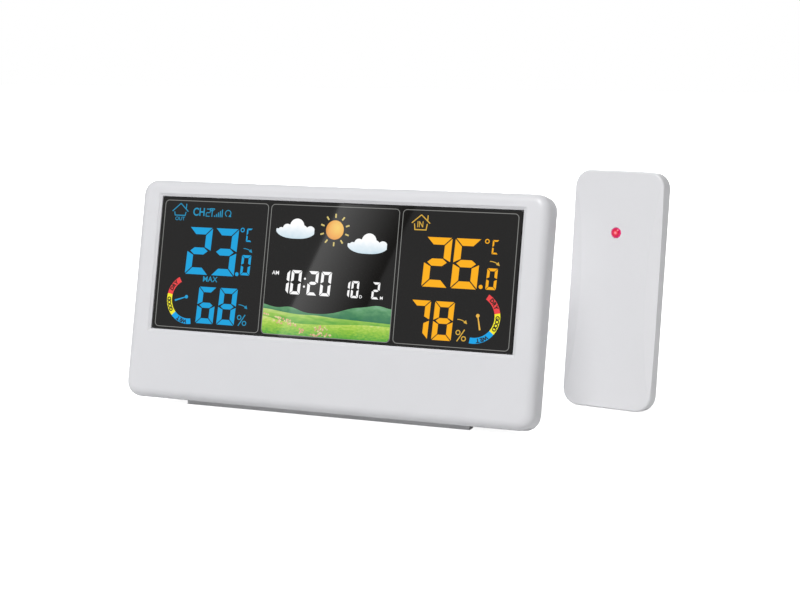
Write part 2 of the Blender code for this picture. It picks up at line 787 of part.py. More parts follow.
def bay_block(margin, front, back):
    return slab(
        (BAY_X - BAY_HALF_WIDTH - margin, front, BULGE_MIDDLE - BAY_HALF_LENGTH - margin),
        (BAY_X + BAY_HALF_WIDTH + margin, back, BULGE_MIDDLE + BAY_HALF_LENGTH + margin),
    )


def key_places():
    """Two columns of three keys: name, X and Z."""
    names = ["mode", "up", "down", "memory", "channel", "light"]
    places = []
    for index, name in enumerate(names):
        column, row = divmod(index, 3)
        x = KEY_X + (column - 0.5) * KEY_PITCH_X
        places.append((name, x, KEY_Z + (1 - row) * KEY_PITCH_Z))
    return places


def key_block(x, z, margin, front, back):
    corner = KEY_HEIGHT / 2 + margin - TINY
    return slab(
        (x - KEY_WIDTH / 2 - margin, front, z - KEY_HEIGHT / 2 - margin),
        (x + KEY_WIDTH / 2 + margin, back, z + KEY_HEIGHT / 2 + margin),
        corner,
    )


def rear_case():
    """Moulded back: closing plate, bulge, cell bay, stand recess, key and jack openings."""
    edge = WALL + GAP
    plate = slab(
        (-CASE_HALF + edge, PLATE_FRONT, edge),
        (CASE_HALF - edge, PLATE_BACK, CASE_HEIGHT - edge),
        CASE_CORNER - edge,
    )
    obj = node("rear_case", plate, CONSOLE, WHITE_PLASTIC)
    bulge = slab(
        (-BULGE_HALF, (PLATE_FRONT + PLATE_BACK) / 2, BULGE_LOW),
        (BULGE_HALF, CASE_DEPTH, BULGE_HIGH),
        BULGE_CORNER,
    )
    join(obj, "bulge", soften(bulge, DEPTH, CASE_DEPTH, BULGE_FILLET))
    hollow = slab(
        (-HOLLOW_HALF, PLATE_FRONT - OVERSHOOT, BULGE_LOW + WALL),
        (HOLLOW_HALF, HOLLOW_BACK, BULGE_HIGH - WALL),
        BULGE_CORNER - WALL,
    )
    cut(obj, "hollow", soften(hollow, DEPTH, HOLLOW_BACK, BULGE_FILLET - WALL, steps=2))
    recess_outer = slab(
        (-RECESS_OUTER_HALF, RECESS_FLOOR - BAY_WALL, BULGE_LOW + WALL / 2),
        (RECESS_OUTER_HALF, CASE_DEPTH - WALL / 2, RECESS_HIGH + BAY_WALL),
    )
    bay_outer = bay_block(BAY_WALL, BAY_FLOOR - BAY_WALL, CASE_DEPTH - WALL / 2)
    join(obj, "pockets", merge([recess_outer, bay_outer]))
    recess = slab(
        (-RECESS_HALF, RECESS_FLOOR, -BULGE_LOW),
        (RECESS_HALF, CASE_DEPTH + OVERSHOOT, RECESS_HIGH),
    )
    bay = bay_block(0.0, BAY_FLOOR, CASE_DEPTH + OVERSHOOT)
    cut(obj, "pocket_hollows", merge([recess, bay]))
    cut(obj, "door_rebate", bay_block(DOOR_LEDGE, DOOR_FRONT - GAP, CASE_DEPTH + OVERSHOOT))
    pivot = (STAND_HINGE_DEPTH, STAND_HINGE_HEIGHT)
    reach = RECESS_HALF + STAND_PIN_LENGTH
    pivots = drum(STAND_PIN_RADIUS + PIN_CLEARANCE, (-reach, *pivot), (reach, *pivot), WIDTH)
    cut(obj, "pivot_sockets", pivots)

    through = (HOLLOW_BACK - OVERSHOOT, CASE_DEPTH + OVERSHOOT)
    openings = [key_block(x, z, GAP, *through) for _, x, z in key_places()]
    openings.append(
        drum(JACK_COLLAR_RADIUS + GAP, (KEY_X, through[0], JACK_Z), (KEY_X, through[1], JACK_Z))
    )
    openings.append(
        drum(KEYHOLE_RADIUS, (0.0, through[0], KEYHOLE_Z), (0.0, through[1], KEYHOLE_Z))
    )
    for i in range(VENT_COUNT):
        x = VENT_START + i * VENT_PITCH
        openings.append(
            slab(
                (x - VENT_WIDTH / 2, through[0], KEYHOLE_Z - VENT_LENGTH / 2),
                (x + VENT_WIDTH / 2, through[1], KEYHOLE_Z + VENT_LENGTH / 2),
            )
        )
    cut(obj, "openings", merge(openings))
    slot = slab(
        (-KEYHOLE_SLOT / 2, through[0], KEYHOLE_Z),
        (KEYHOLE_SLOT / 2, through[1], KEYHOLE_Z + KEYHOLE_RISE),
        KEYHOLE_SLOT / 2 - TINY,
    )
    cut(obj, "keyhole_slot", slot)

    holes = []
    for x, z in boss_places():
        holes.append(
            drum(
                SCREW_RADIUS + GAP,
                (x, PLATE_FRONT - OVERSHOOT, z),
                (x, PLATE_BACK + OVERSHOOT, z),
                steps=16,
            )
        )
    cut(obj, "screw_holes", merge(holes))
    sinks = []
    for x, z in boss_places():
        sinks.append(
            drum(
                SCREW_HEAD_RADIUS + GAP,
                (x, PLATE_BACK - SCREW_HEAD_HEIGHT / 2 - GAP, z),
                (x, PLATE_BACK + OVERSHOOT, z),
                steps=24,
            )
        )
    cut(obj, "screw_sinks", merge(sinks))

    plate_top = CASE_HEIGHT - edge
    hooks = [
        slab(
            (x - HOOK_WIDTH / 2, PLATE_FRONT - WALL / 2, plate_top - WALL / 2),
            (x + HOOK_WIDTH / 2, PLATE_FRONT + WALL / 2, plate_top),
        )
        for x in hook_places()
    ]
    join(obj, "hook_roots", merge(hooks))
    nibs = [
        slab(
            (x - HOOK_WIDTH / 2, PLATE_FRONT - WALL, plate_top - WALL / 2),
            (x + HOOK_WIDTH / 2, PLATE_FRONT - 2 * GAP, plate_top + HOOK_REACH),
        )
        for x in hook_places()
    ]
    join(obj, "hook_nibs", merge(nibs))


def case_screws():
    """Two countersunk screws from the back into the front case's bosses."""
    for index, (x, z) in enumerate(boss_places(), start=1):
        head_front = PLATE_BACK - SCREW_HEAD_HEIGHT / 2
        head = drum(
            SCREW_HEAD_RADIUS,
            (x, head_front, z),
            (x, head_front + SCREW_HEAD_HEIGHT, z),
            steps=24,
        )
        soften(head, DEPTH, head_front + SCREW_HEAD_HEIGHT, SCREW_HEAD_HEIGHT / 3, steps=2)
        obj = node(f"case_screw_{index}", head, CONSOLE, STEEL)
        shank = drum(SCREW_RADIUS, (x, 3 * WALL, z), (x, head_front + GAP, z), steps=16)
        join(obj, "shank", shank)
        cross = [
            (SCREW_HEAD_RADIUS * 0.6, SCREW_RADIUS * 0.25),
            (SCREW_RADIUS * 0.25, SCREW_HEAD_RADIUS * 0.6),
        ]
        for arm, (half_x, half_z) in enumerate(cross, start=1):
            groove = slab(
                (x - half_x, head_front + SCREW_HEAD_HEIGHT / 2, z - half_z),
                (x + half_x, head_front + SCREW_HEAD_HEIGHT + OVERSHOOT, z + half_z),
            )
            cut(obj, f"drive_slot_{arm}", groove)


def battery_door():
    """Lift-off door over the cell bay, flush with the back."""
    margin = DOOR_LEDGE - GAP
    obj = node(
        "battery_door",
        bay_block(margin, DOOR_FRONT, CASE_DEPTH),
        CONSOLE,
        WHITE_PLASTIC,
    )
    catch_z = BULGE_MIDDLE + BAY_HALF_LENGTH + DOOR_LEDGE
    half = DOOR_GRIP_WIDTH / 2
    grip = slab(
        (BAY_X - half, DOOR_FRONT + DOOR_THICKNESS / 2, catch_z - DOOR_GRIP_HEIGHT),
        (BAY_X + half, CASE_DEPTH + OVERSHOOT, catch_z + OVERSHOOT),
    )
    cut(obj, "finger_notch", grip)


def cell(name, x, y, low, frame, nub_up):
    """An AAA cell standing along Z, its positive end up or down."""
    body_low = low if nub_up else low + CELL_NUB_LENGTH
    body_high = body_low + CELL_LENGTH - CELL_NUB_LENGTH
    body = drum(CELL_RADIUS, (x, y, body_low), (x, y, body_high), UP, steps=40)
    soften(body, UP, body_high, CELL_FILLET, steps=2)
    obj = node(name, body, frame, CELL_JACKET)
    nub_ends = (body_high - GAP, low + CELL_LENGTH) if nub_up else (low, body_low + GAP)
    join(obj, "nub", drum(CELL_NUB_RADIUS, (x, y, nub_ends[0]), (x, y, nub_ends[1]), UP, 20))


def contact(name, left, right, y, end, inward, spring_x, frame):
    """A plate on the end wall of a cell bay. At spring_x it carries a tapered spring."""
    half = CELL_RADIUS * 0.7
    outer = end + inward * GAP
    inner = outer + inward * CONTACT_THICKNESS
    low, high = sorted((outer, inner))
    plate = slab((left - half, y - half, low), (right + half, y + half, high))
    obj = node(name, plate, frame, STEEL)
    if spring_x is None:
        return
    tip = end + inward * (CONTACT_ROOM - GAP)
    ends = sorted((inner - inward * CONTACT_THICKNESS / 2, tip))
    radii = (SPRING_WIDE_RADIUS, SPRING_NARROW_RADIUS)[::inward]
    low_end = (spring_x, y, ends[0])
    high_end = (spring_x, y, ends[1])
    join(obj, "spring", drum(radii[0], low_end, high_end, UP, 24, radii[1]))


def console_cells():
    """Three cells side by side, alternate ways up, with their contacts."""
    low = BULGE_MIDDLE - CELL_LENGTH / 2
    places = [BAY_X + (i - 1) * CELL_PITCH for i in range(CELL_COUNT)]
    for index, x in enumerate(places):
        cell(f"console_cell_{index + 1}", x, CELL_DEPTH, low, CONSOLE, nub_up=index % 2 == 0)
    floor = BULGE_MIDDLE - BAY_HALF_LENGTH
    roof = BULGE_MIDDLE + BAY_HALF_LENGTH
    first, second, third = places
    contact("contact_minus", first, first, CELL_DEPTH, floor, 1, first, CONSOLE)
    contact("link_plate_lower", second, third, CELL_DEPTH, floor, 1, third, CONSOLE)
    contact("link_plate_upper", first, second, CELL_DEPTH, roof, -1, second, CONSOLE)
    contact("contact_plus", third, third, CELL_DEPTH, roof, -1, None, CONSOLE)


def keys():
    """Six sprung keys, the rubber mat under them and the small board that they close."""
    top = CASE_DEPTH + KEY_PROUD - KEY_FLANGE_BACK
    for name, x, z in key_places():
        hinge = empty(f"key_{name}_frame", (x, KEY_FLANGE_BACK, z), parent=CONSOLE)
        cap = key_block(0.0, 0.0, 0.0, -GAP, top)
        soften(cap, DEPTH, top, KEY_EDGE, steps=2)
        obj = node(f"key_{name}", cap, hinge, WHITE_PLASTIC)
        join(obj, "flange", key_block(0.0, 0.0, KEY_FLANGE, -KEY_FLANGE_THICKNESS, 0.0))
    half_x = KEY_PITCH_X / 2 + KEY_WIDTH / 2 + 2 * KEY_FLANGE
    half_z = KEY_PITCH_Z + KEY_HEIGHT / 2 + 2 * KEY_FLANGE
    sheet = slab(
        (KEY_X - half_x, KEY_MAT_FRONT, KEY_Z - half_z),
        (KEY_X + half_x, KEY_MAT_BACK, KEY_Z + half_z),
    )
    mat = node("key_mat", sheet, CONSOLE, GREY_RUBBER)
    domes = [
        drum(KEY_DOME_RADIUS, (x, KEY_MAT_BACK - GAP, z), (x, DOME_TOP, z), steps=20)
        for _, x, z in key_places()
    ]
    join(mat, "domes", merge(domes))
    board = slab(
        (KEY_X - half_x, KEY_BOARD_FRONT, KEY_Z - half_z),
        (KEY_X + half_x, KEY_BOARD_FRONT + BOARD_THICKNESS, KEY_Z + half_z),
    )
    node("key_board", board, CONSOLE, BOARD_GREEN)
    link_low = KEY_Z - half_z + LINK_RISE
    link = slab(
        (KEY_X - LINK_WIDTH / 2, BOARD_BACK + GAP, link_low),
        (KEY_X + LINK_WIDTH / 2, KEY_BOARD_FRONT - GAP, link_low + LINK_HEIGHT),
    )
    node("board_link", link, CONSOLE, BLACK_RESIN)


def dc_jack():
    """Barrel socket for a low-voltage adapter, its mouth in the back of the case."""
    back = HOLLOW_BACK - GAP
    half = JACK_BODY / 2
    obj = node(
        "dc_jack",
        slab((KEY_X - half, back - JACK_DEPTH, JACK_Z - half), (KEY_X + half, back, JACK_Z + half)),
        CONSOLE,
        BLACK_RESIN,
    )
    mouth = CASE_DEPTH - GAP
    join(
        obj,
        "collar",
        drum(JACK_COLLAR_RADIUS, (KEY_X, back - GAP, JACK_Z), (KEY_X, mouth, JACK_Z)),
    )
    bore_end = back - JACK_BORE_DEPTH
    cut(
        obj,
        "bore",
        drum(JACK_BORE_RADIUS, (KEY_X, bore_end, JACK_Z), (KEY_X, mouth + OVERSHOOT, JACK_Z)),
    )
    pin = drum(
        JACK_PIN_RADIUS, (KEY_X, bore_end - GAP, JACK_Z), (KEY_X, mouth - WALL, JACK_Z), steps=16
    )
    join(obj, "centre_pin", pin)


def foot_strip():
    """Rubber strip in a groove under the front case, cut level with the table."""
    shape = slab(
        (-FOOT_LENGTH / 2, FOOT_FRONT, -FOOT_DROP),
        (FOOT_LENGTH / 2, FOOT_BACK, FOOT_GROOVE - GAP),
    )
    level_underside(shape, FRONT_EDGE_HEIGHT, CASE_LEAN)
    node("foot_strip", shape, CONSOLE, GREY_RUBBER)


def console_stand():
    """Leg hinged half-way up the back. It props the case and folds down into a recess."""
    sine = math.sin(CASE_LEAN)
    cosine = math.cos(CASE_LEAN)
    hinge_height = FRONT_EDGE_HEIGHT - STAND_HINGE_DEPTH * sine + STAND_HINGE_HEIGHT * cosine
    splay = prop_angle(hinge_height, STAND_REACH)
    hinge = empty(
        "stand_frame",
        (0.0, STAND_HINGE_DEPTH, STAND_HINGE_HEIGHT),
        (CASE_LEAN + splay, 0.0, 0.0),
        CONSOLE,
    )
    half = STAND_THICKNESS / 2
    leg = slab((-STAND_HALF, -half, -STAND_LENGTH), (STAND_HALF, half, half))
    tops = [e for e in leg.edges if all(v.co.z > 0.0 for v in e.verts)]
    bevel(leg, [e for e in tops if abs(e.verts[0].co.x - e.verts[1].co.x) > half], half - TINY, 4)
    obj = node("stand", leg, hinge, WHITE_PLASTIC)
    reach = STAND_HALF + STAND_PIN_LENGTH
    pin = drum(STAND_PIN_RADIUS, (-reach, 0.0, 0.0), (reach, 0.0, 0.0), WIDTH, 24)
    join(obj, "trunnions", pin)
    pad = slab((-STAND_HALF, -half, -2 * STAND_REACH), (STAND_HALF, half, -STAND_LENGTH - GAP))
    level_underside(pad, hinge_height, -splay)
    node("stand_pad", pad, hinge, GREY_RUBBER)


# ---------------------------------------------------------------- outdoor sensor

SENSOR = empty(
    "sensor_frame",
    (SENSOR_BESIDE, SENSOR_BEHIND, SENSOR_ORIGIN_HEIGHT),
    (-SENSOR_LEAN, 0.0, SENSOR_YAW),
)


def side_facet(side):
    """A sloping cut along one long edge of the face, deepest at mid-height."""
    shape = slab(
        (SENSOR_HALF - FACET_WIDTH, -WELL_CLEAR, -WELL_CLEAR),
        (SENSOR_HALF + WELL_CLEAR, 0.0, SENSOR_HEIGHT + WELL_CLEAR),
    )
    uprights = [e for e in shape.edges if abs(e.verts[0].co.z - e.verts[1].co.z) > WELL_CLEAR]
    bmesh.ops.subdivide_edges(shape, edges=uprights, cuts=FACET_STEPS - 1, use_grid_fill=True)
    for vert in shape.verts:
        if vert.co.y > -TINY:
            across = 2 * vert.co.z / SENSOR_HEIGHT - 1
            inner = SENSOR_HALF - FACET_WIDTH * (1 - across * across)
            vert.co.y = FACET_SLOPE * (vert.co.x - inner)
    if side < 0:
        bmesh.ops.scale(shape, vec=(-1.0, 1.0, 1.0), verts=shape.verts)
        bmesh.ops.reverse_faces(shape, faces=shape.faces)
    return shape


def sensor_front():
    """Moulded front shell, deeper at its top, with a crescent facet down each side."""
    shape = slab(
        (-SENSOR_HALF, 0.0, 0.0),
        (SENSOR_HALF, SENSOR_FRONT_DEPTH, SENSOR_HEIGHT),
        SENSOR_CORNER,
        steps=6,
    )
    soften(shape, DEPTH, 0.0, SENSOR_FILLET, steps=3)
    for vert in shape.verts:
        if vert.co.y > SENSOR_FRONT_DEPTH - TINY:
            vert.co.y += SENSOR_SEAM_RAKE * vert.co.z
    obj = node("sensor_front", shape, SENSOR, WHITE_PLASTIC)
    cut(obj, "facet_right", side_facet(1))
    cut(obj, "facet_left", side_facet(-1))
    seam_back = SENSOR_FRONT_DEPTH + SENSOR_SEAM_RUN + OVERSHOOT
    inside = slab(
        (-SENSOR_HALF + SENSOR_WALL, 2 * SENSOR_WALL, SENSOR_WALL),
        (SENSOR_HALF - SENSOR_WALL, seam_back, SENSOR_HEIGHT - SENSOR_WALL),
        SENSOR_CORNER - SENSOR_WALL,
    )
    cut(obj, "inside", inside)
    land = slab(
        (-SENSOR_WIDTH, 0.0, -WELL_CLEAR),
        (SENSOR_WIDTH, 2 * SENSOR_FRONT_DEPTH, 0.0),
    )
    for vert in land.verts:
        if vert.co.z > -TINY:
            vert.co.z = floor_line(vert.co.y, SENSOR_ORIGIN_HEIGHT, SENSOR_LEAN)
    cut(obj, "level_land", land)
    hole = drum(LED_RADIUS + GAP, (0.0, -OVERSHOOT, LED_Z), (0.0, 3 * SENSOR_WALL, LED_Z))
    cut(obj, "lamp_hole", hole)


def signal_lamp():
    """Red domed lamp that flashes when the sensor sends."""
    body = drum(LED_RADIUS, (0.0, 0.0, LED_Z), (0.0, SENSOR_BOARD_FRONT - GAP, LED_Z))
    obj = node("signal_lamp", body, SENSOR, RED_LENS)
    dome = bmesh.new()
    place = Matrix.Translation((0.0, GAP, LED_Z)) @ Matrix.Diagonal(
        (LED_RADIUS, LED_PROUD + GAP, LED_RADIUS, 1.0)
    )
    bmesh.ops.create_uvsphere(dome, u_segments=32, v_segments=16, radius=0.995, matrix=place)
    join(obj, "dome", dome)


def sensor_insides():
    """Board, cell tray, cells, contacts, antenna and probe."""
    inset = SENSOR_WALL + GAP
    corner = SENSOR_CORNER - inset
    left, right = -SENSOR_HALF + inset, SENSOR_HALF - inset
    low, high = inset, SENSOR_HEIGHT - inset
    node(
        "sensor_board",
        slab((left, SENSOR_BOARD_FRONT, low), (right, SENSOR_BOARD_BACK, high), corner),
        SENSOR,
        BOARD_GREEN,
    )
    tray = node(
        "sensor_tray",
        slab((left, TRAY_FRONT, low), (right, TRAY_BACK, high), corner),
        SENSOR,
        MILKY_PLASTIC,
    )
    wall_back = TRAY_FRONT + TRAY_HEIGHT
    half = TRAY_CELL_HALF - GAP
    spans = [(SENSOR_BAY_LOW - BAY_WALL, SENSOR_BAY_LOW)]
    spans.append((SENSOR_BAY_HIGH, SENSOR_BAY_HIGH + BAY_WALL))
    walls = [slab((-half, TRAY_FRONT + GAP, z0), (half, wall_back, z1)) for z0, z1 in spans]
    join(tray, "end_walls", merge(walls))

    cells_low = SENSOR_BAY_LOW + CONTACT_ROOM
    places = [(i - 0.5) * CELL_PITCH for i in range(SENSOR_CELL_COUNT)]
    depth = SENSOR_CELL_CENTRE_DEPTH
    for index, x in enumerate(places):
        cell(f"sensor_cell_{index + 1}", x, depth, cells_low, SENSOR, nub_up=index == 0)
    first, second = places
    contact("sensor_contact_minus", first, first, depth, SENSOR_BAY_LOW, 1, first, SENSOR)
    contact("sensor_contact_plus", second, second, depth, SENSOR_BAY_LOW, 1, None, SENSOR)
    contact("sensor_link_plate", first, second, depth, SENSOR_BAY_HIGH, -1, second, SENSOR)

    seat = TRAY_BACK + GAP
    middle = seat + COIL_RADIUS + COIL_WIRE_RADIUS
    height = SENSOR_HEIGHT - COIL_DROP
    steps = COIL_TURNS * COIL_TURN_STEPS
    coil = []
    for i in range(steps + 1):
        angle = 2 * math.pi * i / COIL_TURN_STEPS
        x = COIL_LENGTH * (i / steps - 0.5)
        y = middle + COIL_RADIUS * math.cos(angle)
        z = height + COIL_RADIUS * math.sin(angle)
        coil.append((x, y, z))
    wire("sensor_antenna", coil, COIL_WIRE_RADIUS, SENSOR, COPPER)
    half_x = OUTDOOR_PROBE_WIDTH / 2
    half_z = OUTDOOR_PROBE_HEIGHT / 2
    probe = slab(
        (OUTDOOR_PROBE_X - half_x, seat, OUTDOOR_PROBE_Z - half_z),
        (OUTDOOR_PROBE_X + half_x, seat + OUTDOOR_PROBE_THICKNESS, OUTDOOR_PROBE_Z + half_z),
    )
    node("outdoor_probe", probe, SENSOR, MILKY_PLASTIC)


def channel_switch():
    """Three-position slide switch for the channel, reached with the cover off."""
    seat = TRAY_BACK + GAP
    back = seat + SWITCH_THICKNESS
    half = SWITCH_TRAVEL / 2 + SWITCH_END
    body = slab(
        (SWITCH_X - half, seat, CONTROL_Z - SWITCH_HEIGHT / 2),
        (SWITCH_X + half, back, CONTROL_Z + SWITCH_HEIGHT / 2),
    )
    obj = node("channel_switch", body, SENSOR, STEEL)
    track_half = SWITCH_TRAVEL / 2 + SWITCH_TRACK_END
    track = slab(
        (SWITCH_X - track_half, seat + SWITCH_TRACK_FLOOR, CONTROL_Z - SWITCH_TRACK_HEIGHT / 2),
        (SWITCH_X + track_half, back + OVERSHOOT, CONTROL_Z + SWITCH_TRACK_HEIGHT / 2),
    )
    cut(obj, "track", track)
    start = SWITCH_X - SWITCH_TRAVEL / 2
    rail = empty("channel_slider_frame", (start, seat, CONTROL_Z), parent=SENSOR)
    knob = slab(
        (-SLIDER_WIDTH / 2, SWITCH_TRACK_FLOOR + GAP, -SLIDER_HEIGHT / 2),
        (SLIDER_WIDTH / 2, SLIDER_TIP, SLIDER_HEIGHT / 2),
    )
    node("channel_slider", knob, rail, BLACK_RESIN)


def transmit_button():
    """Small push-button that makes the sensor send at once."""
    seat = TRAY_BACK + GAP
    back = seat + BUTTON_BODY_THICKNESS
    body = slab(
        (BUTTON_X - BUTTON_BODY_WIDTH / 2, seat, CONTROL_Z - BUTTON_BODY_HEIGHT / 2),
        (BUTTON_X + BUTTON_BODY_WIDTH / 2, back, CONTROL_Z + BUTTON_BODY_HEIGHT / 2),
    )
    obj = node("transmit_switch", body, SENSOR, STEEL)
    well = drum(
        BUTTON_RADIUS + GAP,
        (BUTTON_X, seat + BUTTON_WELL_FLOOR, CONTROL_Z),
        (BUTTON_X, back + OVERSHOOT, CONTROL_Z),
        steps=20,
    )
    cut(obj, "well", well)
    guide = empty("transmit_button_frame", (BUTTON_X, seat, CONTROL_Z), parent=SENSOR)
    low = BUTTON_WELL_FLOOR + BUTTON_TRAVEL + GAP
    plunger = drum(BUTTON_RADIUS, (0.0, low, 0.0), (0.0, BUTTON_TIP, 0.0), steps=20)
    node("transmit_button", plunger, guide, BLACK_RESIN)


def cover_block(inset, front, back):
    """The cover's tapered form, or the hollow that lies this far inside it."""
    shape = slab((-1.0, front, 0.0), (1.0, back, SENSOR_HEIGHT))
    half_run = (back - front) / 2
    for vert in shape.verts:
        if vert.co.y < back - half_run and vert.co.z > SENSOR_HEIGHT / 2:
            vert.co.y += SENSOR_SEAM_RUN
        run = vert.co.y - COVER_FRONT
        side_in = COVER_SIDE_TAPER * run + inset * math.hypot(1.0, COVER_SIDE_TAPER)
        end_in = COVER_END_TAPER * run + inset * math.hypot(1.0, COVER_END_TAPER)
        vert.co.x = math.copysign(COVER_HALF - side_in, vert.co.x)
        if vert.co.z > SENSOR_HEIGHT / 2:
            vert.co.z = SENSOR_HEIGHT - COVER_SETBACK - end_in
        else:
            vert.co.z = COVER_SETBACK + end_in
    slants = [e for e in shape.edges if abs(e.verts[0].co.y - e.verts[1].co.y) > half_run]
    bevel(shape, slants, SENSOR_CORNER - COVER_SETBACK - inset, 6)
    return soften(shape, DEPTH, back, COVER_FILLET - inset, steps=4)


def sensor_cover():
    """Tapered back shell with the leg's recess, a sunk screw hole and a wall keyhole."""
    outer = cover_block(0.0, COVER_FRONT, SENSOR_DEPTH)
    obj = node("sensor_cover", outer, SENSOR, WHITE_PLASTIC)
    hollow = cover_block(SENSOR_WALL, COVER_FRONT - OVERSHOOT, SENSOR_DEPTH - SENSOR_WALL)
    cut(obj, "hollow", hollow)
    leg_high = LEG_HINGE_HEIGHT + LEG_THICKNESS / 2 + 2 * GAP
    half = LEG_WIDTH / 2 + GAP
    rim = half + BAY_WALL
    pocket = slab(
        (-rim, LEG_RECESS_FLOOR - BAY_WALL, LEG_POCKET_LOW),
        (rim, SENSOR_DEPTH - SENSOR_WALL / 2, leg_high + BAY_WALL),
    )
    join(obj, "leg_pocket", pocket)
    recess = slab(
        (-half, LEG_RECESS_FLOOR, -OVERSHOOT), (half, SENSOR_DEPTH + OVERSHOOT, leg_high)
    )
    cut(obj, "leg_recess", recess)
    reach = half + LEG_PIN_LENGTH
    pivot = (LEG_HINGE_DEPTH, LEG_HINGE_HEIGHT)
    sockets = drum(
        LEG_PIN_RADIUS + PIN_CLEARANCE, (-reach, *pivot), (reach, *pivot), WIDTH, steps=24
    )
    cut(obj, "pivot_sockets", sockets)
    keyhole_z = SENSOR_HEIGHT - SENSOR_KEYHOLE_DROP
    ends = (SENSOR_DEPTH - 2 * SENSOR_WALL, SENSOR_DEPTH + OVERSHOOT)
    hole_ends = ((0.0, ends[0], keyhole_z), (0.0, ends[1], keyhole_z))
    cut(obj, "keyhole", drum(SENSOR_KEYHOLE_RADIUS, *hole_ends))
    slot_half = SENSOR_KEYHOLE_SLOT / 2
    slot = slab(
        (-slot_half, ends[0], keyhole_z),
        (slot_half, ends[1], keyhole_z + SENSOR_KEYHOLE_RISE),
        slot_half - TINY,
    )
    cut(obj, "keyhole_slot", slot)
    well_radius = SCREW_HEAD_RADIUS + GAP
    cup_front = (0.0, COVER_SCREW_SEAT - BAY_WALL, COVER_SCREW_Z)
    cup_back = (0.0, SENSOR_DEPTH - SENSOR_WALL / 2, COVER_SCREW_Z)
    join(obj, "screw_cup", drum(well_radius + BAY_WALL, cup_front, cup_back))
    seat = (0.0, COVER_SCREW_SEAT, COVER_SCREW_Z)
    outside = (0.0, SENSOR_DEPTH + OVERSHOOT, COVER_SCREW_Z)
    cut(obj, "screw_well", drum(well_radius, seat, outside, steps=24))
    inside = (0.0, COVER_SCREW_SEAT - 2 * BAY_WALL, COVER_SCREW_Z)
    cut(obj, "screw_hole", drum(SCREW_RADIUS + GAP, inside, outside, steps=16))


def cover_screw():
    """Pan-head screw sunk in the cover's back."""
    head_front = COVER_SCREW_SEAT + GAP
    head_back = head_front + SCREW_HEAD_HEIGHT
    head = drum(
        SCREW_HEAD_RADIUS,
        (0.0, head_front, COVER_SCREW_Z),
        (0.0, head_back, COVER_SCREW_Z),
        steps=24,
    )
    soften(head, DEPTH, head_back, SCREW_HEAD_HEIGHT / 3, steps=2)
    obj = node("cover_screw", head, SENSOR, STEEL)
    shank = drum(
        SCREW_RADIUS,
        (0.0, SENSOR_DEPTH - COVER_SCREW_REACH, COVER_SCREW_Z),
        (0.0, head_front + GAP, COVER_SCREW_Z),
        steps=16,
    )
    join(obj, "shank", shank)


def sensor_leg():
    """Small leg hinged in the cover. It props the sensor and folds down into its recess."""
    sine = math.sin(SENSOR_LEAN)
    cosine = math.cos(SENSOR_LEAN)
    hinge_height = SENSOR_ORIGIN_HEIGHT - LEG_HINGE_DEPTH * sine + LEG_HINGE_HEIGHT * cosine
    half = LEG_THICKNESS / 2
    splay = prop_angle(hinge_height, LEG_LENGTH)
    hinge = empty(
        "sensor_leg_frame",
        (0.0, LEG_HINGE_DEPTH, LEG_HINGE_HEIGHT),
        (SENSOR_LEAN + splay, 0.0, 0.0),
        SENSOR,
    )
    leg = slab((-LEG_WIDTH / 2, -half, -2 * LEG_LENGTH), (LEG_WIDTH / 2, half, half))
    level_underside(leg, hinge_height, -splay)
    tops = [e for e in leg.edges if all(v.co.z > 0.0 for v in e.verts)]
    bevel(leg, [e for e in tops if abs(e.verts[0].co.x - e.verts[1].co.x) > half], half - TINY, 4)
    obj = node("sensor_leg", leg, hinge, WHITE_PLASTIC)
    reach = LEG_WIDTH / 2 + LEG_PIN_LENGTH
    join(obj, "trunnions", drum(LEG_PIN_RADIUS, (-reach, 0.0, 0.0), (reach, 0.0, 0.0), WIDTH, 20))


front_case()
display_window()
display_stack()
main_board()
console_antenna()
rear_case()
case_screws()
battery_door()
console_cells()
keys()
dc_jack()
foot_strip()
console_stand()
sensor_front()
signal_lamp()
sensor_insides()
channel_switch()
transmit_button()
sensor_cover()
cover_screw()
sensor_leg()
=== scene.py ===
"""Looks for a home weather station: a console with a colour display, and its outdoor sensor."""

import math
import random

import bmesh
import bpy
from mathutils import Matrix, Vector


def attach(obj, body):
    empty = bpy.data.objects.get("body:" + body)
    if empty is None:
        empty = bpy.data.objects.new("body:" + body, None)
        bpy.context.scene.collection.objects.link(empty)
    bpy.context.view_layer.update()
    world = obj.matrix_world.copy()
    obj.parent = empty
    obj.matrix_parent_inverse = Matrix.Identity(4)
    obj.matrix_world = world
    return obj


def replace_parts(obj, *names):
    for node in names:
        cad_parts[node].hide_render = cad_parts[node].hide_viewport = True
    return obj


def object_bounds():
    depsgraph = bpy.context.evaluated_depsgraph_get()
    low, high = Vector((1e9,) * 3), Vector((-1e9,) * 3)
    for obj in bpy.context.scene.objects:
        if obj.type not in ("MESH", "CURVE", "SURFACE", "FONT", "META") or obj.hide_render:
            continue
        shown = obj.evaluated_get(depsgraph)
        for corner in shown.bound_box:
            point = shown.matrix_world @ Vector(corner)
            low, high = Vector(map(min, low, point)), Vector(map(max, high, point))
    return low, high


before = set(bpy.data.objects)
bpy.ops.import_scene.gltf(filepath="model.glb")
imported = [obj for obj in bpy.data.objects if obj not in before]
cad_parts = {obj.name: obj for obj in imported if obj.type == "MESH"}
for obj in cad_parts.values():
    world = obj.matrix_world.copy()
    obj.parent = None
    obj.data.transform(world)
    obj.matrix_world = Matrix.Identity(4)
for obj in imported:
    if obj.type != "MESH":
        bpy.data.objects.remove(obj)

cad_low, cad_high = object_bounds()
MM = 0.001

